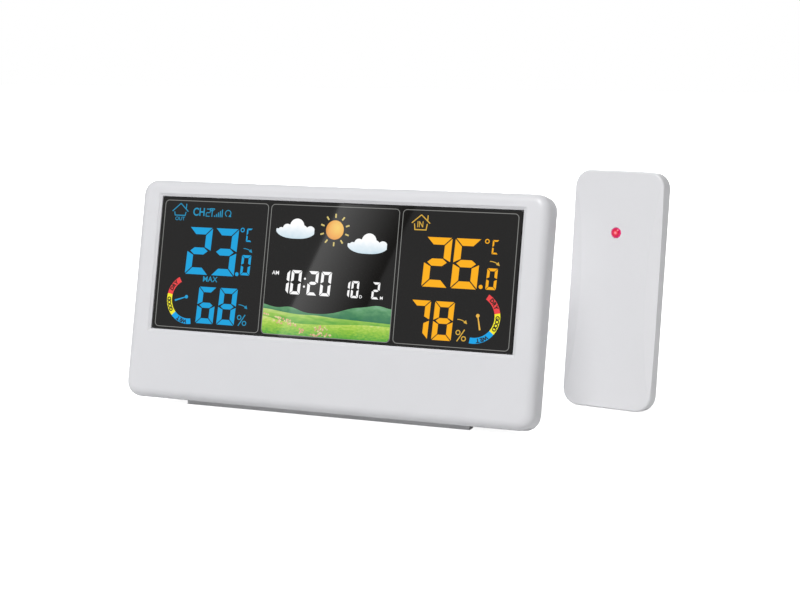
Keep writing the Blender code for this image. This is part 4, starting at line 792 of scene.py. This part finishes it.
def ramp_between(tree, value, low, high, stops):
    """Colours along a value that runs from low to high."""
    colours = tree.nodes.new("ShaderNodeValToRGB")
    elements = colours.color_ramp.elements
    while len(elements) < len(stops):
        elements.new(0.5)
    for element, (position, colour) in zip(elements, stops):
        element.position = position
        element.color = (*colour, 1.0)
    join(tree, map_range(tree, value, 0.0, 1.0, low, high), colours.inputs["Fac"])
    return colours.outputs["Color"]


def distance_from(tree, coordinates, middle):
    inputs = {0: coordinates, 1: middle}
    return add_node(tree, "VectorMath", inputs, "Value", operation="DISTANCE")


def speckle(tree, coordinates, value, scale, amount):
    """Adds fine noise to a value."""
    grain = {0: noise_in(tree, scale, 3.0, coordinates), 1: amount, 2: value}
    return add_node(tree, "Math", grain, operation="MULTIPLY_ADD")


sun_print, tree, shader, place = picture("sun_print")
rough_glow = speckle(tree, place, distance_from(tree, place, on_window(*SUN_GLOW)), 1800.0, 0.0011)
join(tree, ramp_between(tree, rough_glow, 0.0, 0.0056, SUN_STOPS), shader.inputs["Emission Color"])
disc = bmesh.new()
add_spot(disc, SUN, SUN_RADIUS, steps=48)
print_on_window("sun_disc", disc, sun_print)
rays = bmesh.new()
for i in range(RAYS):
    angle = math.radians(90.0 + 360.0 * i / RAYS)
    reach = Vector((math.cos(angle), math.sin(angle)))
    add_stroke(rays, [tuple(Vector(SUN) + reach * distance) for distance in RAY_ENDS], RAY_WIDTH)
print_on_window("sun_rays", rays, lit("ray_print", (0.74, 0.60, 0.19), 0.25))


def cloud_outline(corner):
    """The outline of a cloud: along its lobes, and back along its smooth underside."""
    start = min(x - r for x, y, r in CLOUD_LOBES)
    end = max(x + r for x, y, r in CLOUD_LOBES)
    middle, half_width, height, depth = CLOUD_BELLY
    top = []
    bottom = []
    for i in range(1, CLOUD_STEPS):
        x = start + (end - start) * i / CLOUD_STEPS
        lobes = [(y, r * r - (x - cx) ** 2) for cx, y, r in CLOUD_LOBES if abs(x - cx) < r]
        over = max(y + math.sqrt(square) for y, square in lobes)
        along = min(abs(x - middle) / half_width, 1.0)
        under = height - depth * (1.0 - along**2.6) ** 0.6
        top.append((corner[0] + x, corner[1] + over))
        bottom.append((corner[0] + x, corner[1] + min(under, over - 0.05)))
    return bottom, top


for index, corner in enumerate(CLOUD_PLACES, start=1):
    cloud_print, tree, shader, place = picture(f"cloud_print_{index}")
    height = add_node(tree, "SeparateXYZ", {"Vector": place}, "Z")
    puffs = speckle(tree, place, height, 420.0, 0.0034)
    base = on_window(*corner).z
    colour = ramp_between(tree, puffs, base, base + 0.0085, CLOUD_STOPS)
    join(tree, colour, shader.inputs["Emission Color"])
    cloud = bmesh.new()
    add_band(cloud, *cloud_outline(corner))
    print_on_window(f"cloud_{index}", cloud, cloud_print)

# ------------------------------------------------------------------ meadow picture
# The lower third of the middle field is a printed landscape: blue-green hills, a lit
# meadow in front of them and a drift of pale flowers down its left side.
MEADOW_LEFT, MEADOW_RIGHT = PANELS["weather"][0] + LINE, PANELS["weather"][1] - LINE
MEADOW_STEPS = 72


def swell(x, middle, width, height):
    """A smooth hill of this height round a middle."""
    return height * math.exp(-(((x - middle) / width) ** 2))


def far_hills(x):
    ridge = -16.7 + swell(x, -30.0, 9.0, 3.1) + swell(x, -15.5, 5.0, 1.9)
    ridge += swell(x, 13.0, 8.5, 3.2) + swell(x, 22.0, 5.5, 3.2) + swell(x, 31.0, 6.0, 3.2)
    return ridge


def far_meadow(x):
    return -17.6 - 0.035 * (x + 5.0) + swell(x, -27.0, 9.0, 1.1) + swell(x, -4.0, 5.0, 0.35)


def near_meadow(x):
    return -20.9 + 0.02 * (x + 5.0) + swell(x, -30.0, 11.0, 2.9) + swell(x, 16.0, 14.0, 0.7)


def floor_of_field(x):
    """The rounded lower edge of the field."""
    inset = PANEL_CORNER - LINE
    room = min(x - MEADOW_LEFT, MEADOW_RIGHT - x)
    drop = inset - math.sqrt(max(inset**2 - max(inset - room, 0.0) ** 2, 0.0))
    return PANEL_LOW + LINE + drop


# Each land's piece, print and crest, the heights its greens run between, how far its grain
# is stretched, how fine and how strong the grain is, and its greens from the foot up
LANDS = (
    ("far_hills", "hill_print", far_hills, (-18.9, -8.6), 0.45, 700.0, 0.0066, [
        (0.0, (0.02, 0.10, 0.07)),
        (0.35, (0.045, 0.19, 0.10)),
        (0.6, (0.07, 0.24, 0.11)),
        (0.8, (0.13, 0.34, 0.16)),
        (1.0, (0.20, 0.42, 0.25)),
    ]),
    ("far_meadow", "far_meadow_print", far_meadow, (-20.5, -12.8), 0.22, 1100.0, 0.0052, [
        (0.0, (0.05, 0.24, 0.05)),
        (0.4, (0.15, 0.42, 0.06)),
        (0.7, (0.34, 0.58, 0.10)),
        (1.0, (0.60, 0.70, 0.26)),
    ]),
    ("near_meadow", "near_meadow_print", near_meadow, (-25.0, -14.6), 0.45, 1500.0, 0.0074, [
        (0.0, (0.03, 0.22, 0.04)),
        (0.3, (0.10, 0.38, 0.05)),
        (0.6, (0.30, 0.56, 0.06)),
        (0.85, (0.50, 0.68, 0.12)),
        (1.0, (0.66, 0.74, 0.30)),
    ]),
)
GRAIN_TILT = math.radians(7.0)
columns = range(MEADOW_STEPS + 1)
xs = [MEADOW_LEFT + (MEADOW_RIGHT - MEADOW_LEFT) * i / MEADOW_STEPS for i in columns]
ground = [(x, floor_of_field(x)) for x in xs]
for layer, (name, print_name, crest, levels, stretch, scale, amount, stops) in enumerate(LANDS, 1):
    land_print, tree, shader, place = picture(print_name)
    lie = {"Vector": place, "Rotation": (0.0, GRAIN_TILT, 0.0), "Scale": (stretch, 1.0, 1.0)}
    height = add_node(tree, "SeparateXYZ", {"Vector": place}, "Z")
    mixed = speckle(tree, add_node(tree, "Mapping", lie), height, scale, amount)
    low, high = [on_window(0.0, level).z for level in levels]
    join(tree, ramp_between(tree, mixed, low, high, stops), shader.inputs["Emission Color"])
    land = bmesh.new()
    add_band(land, ground, [(x, crest(x)) for x in xs], layer=layer)
    print_on_window(name, land, land_print)

random.seed(7)
PETALS = 5
OUTLINE_STEPS = PETALS * 4
BLOOMS_IN_A_DRIFT = 9
blooms = bmesh.new()
pale_blooms = bmesh.new()
DRIFTS = ((-26.0, -17.6), (-20.0, -18.4), (-17.0, -18.0), (-15.6, -20.2), (-14.0, -21.4))
DRIFTS += ((-19.8, -20.6), (-9.5, -23.2), (-3.6, -22.6), (-1.6, -22.1), (-1.0, -24.0))
DRIFTS += ((-4.6, -24.8), (1.4, -24.6))
for across, up in DRIFTS:
    for _ in range(BLOOMS_IN_A_DRIFT):
        x = across + random.gauss(0.0, 1.1)
        y = min(max(up + random.gauss(0.0, 0.42), PANEL_LOW + 0.7), near_meadow(x) + 0.9)
        x = max(x, MEADOW_LEFT + 0.6)
        size = random.uniform(0.2, 0.42)
        turn = math.radians(random.uniform(0.0, 360.0))
        outline = []
        for step in range(OUTLINE_STEPS):
            round_by = 2 * math.pi * step / OUTLINE_STEPS
            reach = size * (1.0 + 0.35 * math.cos(PETALS * round_by))
            angle = turn + round_by
            outline.append((x + reach * math.cos(angle), y + reach * math.sin(angle)))
        add_plate(random.choice((blooms, pale_blooms)), outline, layer=5)
print_on_window("pink_flowers", blooms, lit("pink_petals", (0.80, 0.42, 0.27), 0.3))
print_on_window("cream_flowers", pale_blooms, lit("cream_petals", (0.90, 0.76, 0.42), 0.3))

# ------------------------------------------------------------------ outdoor sensor's mouldings
# The outdoor unit: a flat front shell with a crescent facet down each side, a back cover
# that lifts off over the cells, and a fold-out leg. The same white ABS as the console.
SENSOR_LEAN = math.radians(5.8)
SENSOR_YAW = math.radians(-9.7)
SENSOR_TALL = 94.2 * MM
SENSOR_TURN = Matrix.Rotation(SENSOR_YAW, 4, "Z") @ Matrix.Rotation(-SENSOR_LEAN, 4, "X")
FRONT_LOW, FRONT_HIGH = turned_box("sensor_front", SENSOR_TURN)
FACET_WIDTH = 5.0 * MM
CREASE_SLACK = 0.05 * MM


def on_facet_line(place):
    """Whether a point lies on the curved line where a crescent facet meets the flat face."""
    middle = (FRONT_LOW + FRONT_HIGH) / 2
    half = (FRONT_HIGH.x - FRONT_LOW.x) / 2
    share = 2 * (place.z - FRONT_HIGH.z) / SENSOR_TALL + 1
    line = half - FACET_WIDTH * (1 - share * share)
    on_face = place.y < FRONT_LOW.y + CREASE_SLACK
    return on_face and abs(abs(place.x - middle.x) - line) < CREASE_SLACK


sensor_white = moulded("sensor_white_abs", (0.785, 0.785, 0.8), 0.38)
for node, body, creased in (
    ("sensor_front", "sensor", on_facet_line),
    ("sensor_cover", "sensor_cover", None),
    ("sensor_leg", "sensor_leg", None),
):
    name = f"{node}_moulding"
    finer(node, name, SENSOR_TURN, body, "case_white", sensor_white, creased=creased)

# ------------------------------------------------------------------ signal lamp
# A red LED lens that stands a little proud of the sensor's front, glowing faintly from the lamp
# behind its middle; the pale pink core of that glow is a painted highlight.
LAMP_REACH = 1.9 * MM
LENS_GLOW_AND_HIGHLIGHT = 0.75
LENS_GLOW_AND_HIGHLIGHT_STOPS = [
    (0.0, (1.0, 0.55, 0.6)),
    (0.25, (1.0, 0.16, 0.22)),
    (0.5, (0.62, 0.004, 0.03)),
    (0.8, (0.5, 0.004, 0.07)),
    (1.0, (0.75, 0.02, 0.22)),
]
red_lens_painted_highlight = moulded("red_lens_painted_highlight", (0.3, 0.008, 0.02), 0.12, 0.1, 0.1)
tree = red_lens_painted_highlight.node_tree
shader = tree.nodes["Principled BSDF"]
LAMP_LOW, LAMP_HIGH = turned_box("signal_lamp", SENSOR_TURN)
lamp_middle = (LAMP_LOW + LAMP_HIGH) / 2
lamp_middle.y = LAMP_LOW.y
# Painted highlight and glow: emission runs from a pale pink core at the lamp's middle through deep
# red to a magenta rim.
from_highlight_core = distance_from(tree, on_object(tree), SENSOR_TURN @ lamp_middle)
glow = ramp_between(tree, from_highlight_core, 0.0, LAMP_REACH, LENS_GLOW_AND_HIGHLIGHT_STOPS)
join(tree, glow, shader.inputs["Emission Color"])
join(tree, LENS_GLOW_AND_HIGHLIGHT, shader.inputs["Emission Strength"])
finer("signal_lamp", "signal_lens", SENSOR_TURN, "sensor", "lamp_red", red_lens_painted_highlight)

# ------------------------------------------------------------------ keys at the back
# Six pill keys in two columns, moulded in a slightly duller white so that they stand apart.
key_white = moulded("key_white_abs", (0.70, 0.70, 0.705), 0.3)
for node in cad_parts:
    if node.startswith("key_") and node not in ("key_mat", "key_board"):
        finer(node, f"{node}_cap", LEANING, node, "key_white", key_white)

# ------------------------------------------------------------------ rubber feet and seals
# Soft pale grey silicone: the foot strip under the front edge, the pad at the stand's foot,
# the sheet of key domes and the striped strip that joins the LCD to its board.
grey_rubber = moulded("grey_rubber", (0.5, 0.5, 0.51), 0.72, 0.12, 1.6, 0.02 * MM)
pale_rubber = moulded("pale_rubber", (0.8, 0.8, 0.81), 0.7, 0.06, 1.2, 0.01 * MM)
for node, name, body, rubber in (
    ("foot_strip", "foot_strip_moulding", "console", pale_rubber),
    ("stand_pad", "stand_pad_moulding", "stand", grey_rubber),
    ("key_mat", "key_mat_sheet", "console", grey_rubber),
    ("zebra_strip", "zebra_strip_sheet", "console", grey_rubber),
):
    finer(node, name, LEANING, body, "grey_rubber", rubber)

# ------------------------------------------------------------------ plated steel and copper
# Screws, battery springs, link plates, switch shells and crystal cans are nickel-plated steel,
# with the fine lines of drawing and tumbling. The aerials are bare or enamelled copper.
def make_worked_metal():
    """Drawn or tumbled metal: streaks one way, and dull patches from handling."""
    inputs = {"Colour": (0.6, 0.6, 0.58), "Roughness": 0.3}
    outputs = ("Colour", "Roughness", "Height")
    group, given, result, place = shader_group("worked_metal", inputs, outputs)
    drawn = add_node(group, "Mapping", {"Vector": place, "Scale": (1.0, 1.0, 0.06)})
    patches = noise_in(group, 400.0, 4.0, place)
    shade = map_range(group, patches, 0.78, 1.1)
    join(group, scaled_colour(group, given["Colour"], shade), result["Colour"])
    dullness = map_range(group, patches, 1.35, 0.7)
    join(group, maths(group, "MULTIPLY", given["Roughness"], dullness), result["Roughness"])
    join(group, noise_in(group, 9000.0, 3.0, drawn), result["Height"])
    return group


WORKED_METAL = make_worked_metal()


def metal(name, colour, roughness, relief=0.006 * MM):
    """Bare or plated metal from the worked_metal group."""
    values = {"Colour": colour, "Roughness": roughness}
    material, shader = finished(name, WORKED_METAL, values, relief)
    shader.inputs["Metallic"].default_value = 1.0
    return material


nickel = metal("nickel_plate", (0.66, 0.64, 0.60), 0.28)
bare_copper = metal("bare_copper", (0.72, 0.36, 0.20), 0.3)
for node, name, turned, body in (
    ("case_screw_1", "case_screw_left", LEANING, "console"),
    ("case_screw_2", "case_screw_right", LEANING, "console"),
    ("cover_screw", "cover_screw_head", SENSOR_TURN, "sensor_cover"),
    ("clock_crystal", "clock_crystal_can", LEANING, "console"),
    ("channel_switch", "channel_switch_shell", SENSOR_TURN, "sensor"),
    ("transmit_switch", "transmit_switch_shell", SENSOR_TURN, "sensor"),
):
    finer(node, name, turned, body, "steel", nickel)
finer("console_antenna", "console_aerial", LEANING, "console", "copper", bare_copper)
finer("sensor_antenna", "sensor_aerial", SENSOR_TURN, "sensor", "copper", bare_copper, 60.0)

# ------------------------------------------------------------------ battery cells
# Five AAA cells: a drawn steel can in a printed shrink film with a bright band at its
# positive end, a white fibre washer round the nub, and bare metal at both ends.
CELL_STEPS = 48
FILM_SHADE = (0.012, 0.016, 0.024)
BAND_SHADE = (0.62, 0.38, 0.13)
BAND_SHARE = 0.27
NUB_RADIUS, NUB_RISE = 1.9 * MM, 1.2 * MM
CELLS = {f"console_cell_{number}": (LEANING, "console") for number in (1, 2, 3)}
CELLS |= {f"sensor_cell_{number}": (SENSOR_TURN, "sensor") for number in (1, 2)}


def lathe(shape, profile, middle, upward):
    """Turns (radius, height, material) points about an upright axis through a point."""
    rings = []
    for radius, height, _ in profile:
        ring = []
        for i in range(CELL_STEPS):
            angle = upward * 2 * math.pi * i / CELL_STEPS
            place = (radius * math.cos(angle), radius * math.sin(angle), upward * height)
            ring.append(shape.verts.new(middle + Vector(place)))
        rings.append(ring)
    for below, above, point in zip(rings, rings[1:], profile):
        for i in range(CELL_STEPS):
            j = (i + 1) % CELL_STEPS
            face = shape.faces.new((below[i], below[j], above[j], above[i]))
            face.material_index = point[2]
    shape.faces.new(rings[0][::-1]).material_index = profile[0][2]
    shape.faces.new(rings[-1]).material_index = profile[-1][2]


shrink_film = moulded("printed_shrink_film", FILM_SHADE, 0.22, 0.2, 0.4)
bright_band = metal("bright_band", BAND_SHADE, 0.32)
fibre_washer = moulded("fibre_washer", (0.7, 0.68, 0.62), 0.8, 0.08, 1.5, 0.01 * MM)
finishes = (shrink_film, bright_band, nickel, fibre_washer)
FILM, BAND, BARE, WASHER = range(4)
for node, (turned, body) in CELLS.items():
    low, high = turned_box(node, turned)
    middle = (low + high) / 2
    radius = (high.x - low.x) / 2
    tops = [p for p in points_of(node, turned) if p.z > high.z - 0.01 * MM]
    nub_up = max(math.hypot(p.x - middle.x, p.y - middle.y) for p in tops) < radius * 0.6
    length = high.z - low.z
    shoulder = length - NUB_RISE
    profile = [
        (radius * 0.80, 0.0, BARE),
        (radius * 0.90, 0.12 * MM, BARE),
        (radius * 0.93, 0.35 * MM, FILM),
        (radius * 0.985, 0.55 * MM, FILM),
        (radius * 0.995, 0.9 * MM, FILM),
        (radius * 0.995, shoulder * (1.0 - BAND_SHARE), BAND),
        (radius * 0.995, shoulder - 0.9 * MM, BAND),
        (radius * 0.97, shoulder - 0.35 * MM, BAND),
        (radius * 0.88, shoulder - 0.1 * MM, WASHER),
        (radius * 0.62, shoulder - 0.25 * MM, BARE),
        (NUB_RADIUS * 1.25, shoulder - 0.1 * MM, BARE),
        (NUB_RADIUS, shoulder + 0.1 * MM, BARE),
        (NUB_RADIUS * 0.98, length - 0.25 * MM, BARE),
        (NUB_RADIUS * 0.8, length, BARE),
    ]
    can = bmesh.new()
    foot = Vector((middle.x, middle.y, low.z if nub_up else high.z))
    lathe(can, profile, foot, 1.0 if nub_up else -1.0)
    bmesh.ops.recalc_face_normals(can, faces=can.faces)
    smooth_over(can)
    piece = place_piece(f"{node}_can", can, turned, body, "cell_jacket", *finishes)
    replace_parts(piece, node)

# ------------------------------------------------------------------ battery springs and plates
# Stamped nickel-plated plates stand in slots at the ends of the bays. Each negative end has
# a cone of spring wire, wide at the plate, soldered to it.
SPRING_TURNS = 4.5
SPRING_STEPS = 90
SPRING_WIRE = 0.32 * MM
SPRING_WIDE, SPRING_NARROW = 3.1 * MM, 1.9 * MM
WIRE_SIDES = 10
PLATE_THICKNESS = 0.5 * MM
PLATE_ROUNDING = 0.12 * MM
CONTACT_PLATES = ("contact_minus", "contact_plus", "link_plate_lower", "link_plate_upper")
CONTACT_PLATES += ("sensor_contact_minus", "sensor_contact_plus", "sensor_link_plate")
TOP_PLATES = ("sensor_link_plate",)


def add_block(shape, low, high, corner, steps):
    """A block between two corners, its edges rounded."""
    made = bmesh.ops.create_cube(shape, size=1.0)["verts"]
    middle, size = (low + high) / 2, high - low
    for vert in made:
        vert.co = middle + Vector(vert.co[axis] * size[axis] for axis in range(3))
    edges = list({edge for vert in made for edge in vert.link_edges})
    rounding = {"offset": corner, "segments": steps, "profile": 0.5, "affect": "EDGES"}
    bmesh.ops.bevel(shape, geom=edges, clamp_overlap=True, **rounding)


def add_tube(shape, path, radius):
    """A round wire along a path of points."""
    rings = []
    for i, point in enumerate(path):
        along = (path[min(i + 1, len(path) - 1)] - path[max(i - 1, 0)]).normalized()
        across = along.orthogonal() if not rings else (across - along * across.dot(along))
        across.normalize()
        other = along.cross(across)
        ring = []
        for side in range(WIRE_SIDES):
            angle = 2 * math.pi * side / WIRE_SIDES
            reach = across * math.cos(angle) + other * math.sin(angle)
            ring.append(shape.verts.new(point + reach * radius))
        rings.append(ring)
    for near, far in zip(rings, rings[1:]):
        for side in range(WIRE_SIDES):
            after = (side + 1) % WIRE_SIDES
            shape.faces.new((near[side], near[after], far[after], far[side]))
    shape.faces.new(rings[0][::-1])
    shape.faces.new(rings[-1])


def spring_path(middle, inner, tip):
    """A cone of wire from a plate's inner face towards the tip that presses on the cell."""
    path = []
    for i in range(SPRING_STEPS + 1):
        share = i / SPRING_STEPS
        angle = 2 * math.pi * SPRING_TURNS * share
        radius = SPRING_WIDE + (SPRING_NARROW - SPRING_WIDE) * share
        rise = inner + (tip - inner) * (0.1 + 0.78 * share)
        reach = (radius * math.cos(angle), radius * math.sin(angle))
        path.append(Vector((middle.x + reach[0], middle.y + reach[1], rise)))
    return path


for node in CONTACT_PLATES:
    on_sensor = node.startswith("sensor")
    turned, body = (SENSOR_TURN, "sensor") if on_sensor else (LEANING, "console")
    low, high = turned_box(node, turned)
    at_top = node in TOP_PLATES if on_sensor else (low.z + high.z) / 2 > WINDOW_MIDDLE.z
    plate_low, plate_high = low.copy(), high.copy()
    if at_top:
        plate_low.z = high.z - PLATE_THICKNESS
    else:
        plate_high.z = low.z + PLATE_THICKNESS
    plate = bmesh.new()
    add_block(plate, plate_low, plate_high, PLATE_ROUNDING, 2)
    if high.z - low.z > 2 * PLATE_THICKNESS:
        inner, tip = (plate_low.z, low.z) if at_top else (plate_high.z, high.z)
        ring = [p for p in points_of(node, turned) if abs(p.z - tip) < 0.05 * MM]
        middle = sum(ring, Vector()) / len(ring)
        add_tube(plate, spring_path(middle, inner, tip), SPRING_WIRE)
    bmesh.ops.recalc_face_normals(plate, faces=plate.faces)
    smooth_over(plate, 50.0)
    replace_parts(place_piece(f"{node}_stamping", plate, turned, body, "steel", nickel), node)

# ------------------------------------------------------------------ milky inner mouldings
# The LCD's frame and the sensor's cell tray are unpainted translucent ABS; the outdoor
# probe is a vented cap of the same plastic.
milky = moulded("milky_abs", (0.66, 0.68, 0.68), 0.45, 0.04, 1.2)
for node, name, turned, body in (
    ("lcd_frame", "lcd_frame_moulding", LEANING, "console"),
    ("sensor_tray", "sensor_tray_moulding", SENSOR_TURN, "sensor"),
    ("outdoor_probe", "outdoor_probe_cap", SENSOR_TURN, "sensor"),
):
    finer(node, name, turned, body, "milky_plastic", milky)

# ------------------------------------------------------------------ circuit boards
# Fibreglass boards under green solder mask: the tracks show as slightly raised lines, with
# tinned pads among them.
MASK_GREEN = (0.012, 0.11, 0.045)
TRACK_GREEN = (0.03, 0.2, 0.075)
TIN = (0.62, 0.62, 0.6)


def make_board_face():
    """Tracks and tinned pads over solder mask."""
    inputs = {"Mask": MASK_GREEN, "Track": TRACK_GREEN, "Scale": 420.0}
    outputs = ("Colour", "Metal", "Height")
    group, given, result, place = shader_group("board_face", inputs, outputs)
    runs = {"Vector": place, "Scale": given["Scale"]}
    runs = add_node(group, "TexVoronoi", runs, "Distance", distance="CHEBYCHEV", feature="F1")
    track = maths(group, "GREATER_THAN", maths(group, "PINGPONG", runs, 0.11), 0.062)
    pad = maths(group, "LESS_THAN", runs, 0.055)
    greens = {"Factor": track, "A": given["Mask"], "B": given["Track"]}
    green = add_node(group, "Mix", greens, "Result", data_type="RGBA")
    tinned = {"Factor": pad, "A": green, "B": TIN}
    join(group, add_node(group, "Mix", tinned, "Result", data_type="RGBA"), result["Colour"])
    join(group, pad, result["Metal"])
    join(group, track, result["Height"])
    return group


BOARD_FACE = make_board_face()


def board(name, scale):
    material, shader = finished(name, BOARD_FACE, {"Scale": scale}, 0.03 * MM)
    shader.inputs["Roughness"].default_value = 0.3
    return material


green_board = board("green_board", 300.0)
fine_board = board("fine_board", 520.0)
for node, turned, body, finish in (
    ("main_board", LEANING, "console", green_board),
    ("key_board", LEANING, "console", green_board),
    ("led_strip", LEANING, "console", fine_board),
    ("radio_module", LEANING, "console", fine_board),
    ("sensor_board", SENSOR_TURN, "sensor", green_board),
):
    finer(node, f"{node}_laminate", turned, body, "circuit_board", finish)

# ------------------------------------------------------------------ black resin parts
# Small moulded parts: the DC inlet, buzzer, room probe, board link, the glob of epoxy over
# the chip, the channel slider and the transmit button.
black_resin = moulded("black_resin", (0.014, 0.014, 0.015), 0.38, 0.25, 1.4, 0.01 * MM)
epoxy = moulded("epoxy_glob", (0.009, 0.009, 0.010), 0.16, 0.3, 0.5)
for node in ("dc_jack", "buzzer", "room_probe", "board_link"):
    finer(node, f"{node}_moulding", LEANING, "console", "black_resin", black_resin)
finer("controller_blob", "controller_glob", LEANING, "console", "black_resin", epoxy, 60.0)
for node, name in (
    ("channel_slider", "channel_slider_knob"),
    ("transmit_button", "transmit_plunger"),
):
    finer(node, name, SENSOR_TURN, node, "black_resin", black_resin)

# ------------------------------------------------------------------ optical stack
# Behind the window: the LCD cell, the printed colour film, the clear acrylic light guide
# with its dots, and a silvered sheet that turns the light forward.
UNLIT_GREY = (0.9, 0.9, 0.9)
FILM_STOPS = [
    (0.0, CYAN_LIGHT),
    (0.305, CYAN_LIGHT),
    (0.32, UNLIT_GREY),
    (0.66, UNLIT_GREY),
    (0.675, AMBER_LIGHT),
    (1.0, AMBER_LIGHT),
]
lcd_black = moulded("lcd_black", (0.02, 0.021, 0.02), 0.12, 0.15, 0.2)
film, tree, shader, place = picture("colour_film_print")
join(tree, 0.0, shader.inputs["Emission Strength"])
striped = speckle(tree, place, add_node(tree, "SeparateXYZ", {"Vector": place}, "X"), 700.0, 0.0002)
film_edges = (PANELS["outdoor"][0] * MM, PANELS["indoor"][1] * MM)
join(tree, ramp_between(tree, striped, *film_edges, FILM_STOPS), shader.inputs["Base Color"])
clear, tree, shader = new_material("clear_acrylic")
dots = add_node(tree, "TexVoronoi", {"Scale": 900.0, "Vector": on_object(tree)}, "Distance")
join(tree, map_range(tree, dots, 0.35, 0.02), shader.inputs["Roughness"])
join(tree, (0.95, 0.97, 0.97), shader.inputs["Base Color"])
shader.inputs["Transmission Weight"].default_value = 1.0
shader.inputs["IOR"].default_value = 1.49
silver = metal("silvered_sheet", (0.86, 0.87, 0.88), 0.18, 0.002 * MM)
for node, name, slot, finish in (
    ("lcd_panel", "lcd_cell", "lcd_glass", lcd_black),
    ("colour_film", "colour_film_sheet", "colour_print", film),
    ("light_guide", "light_guide_plate", "clear_plastic", clear),
    ("reflector_film", "reflector_sheet", "silver_film", silver),
):
    finer(node, name, LEANING, "console", slot, finish)
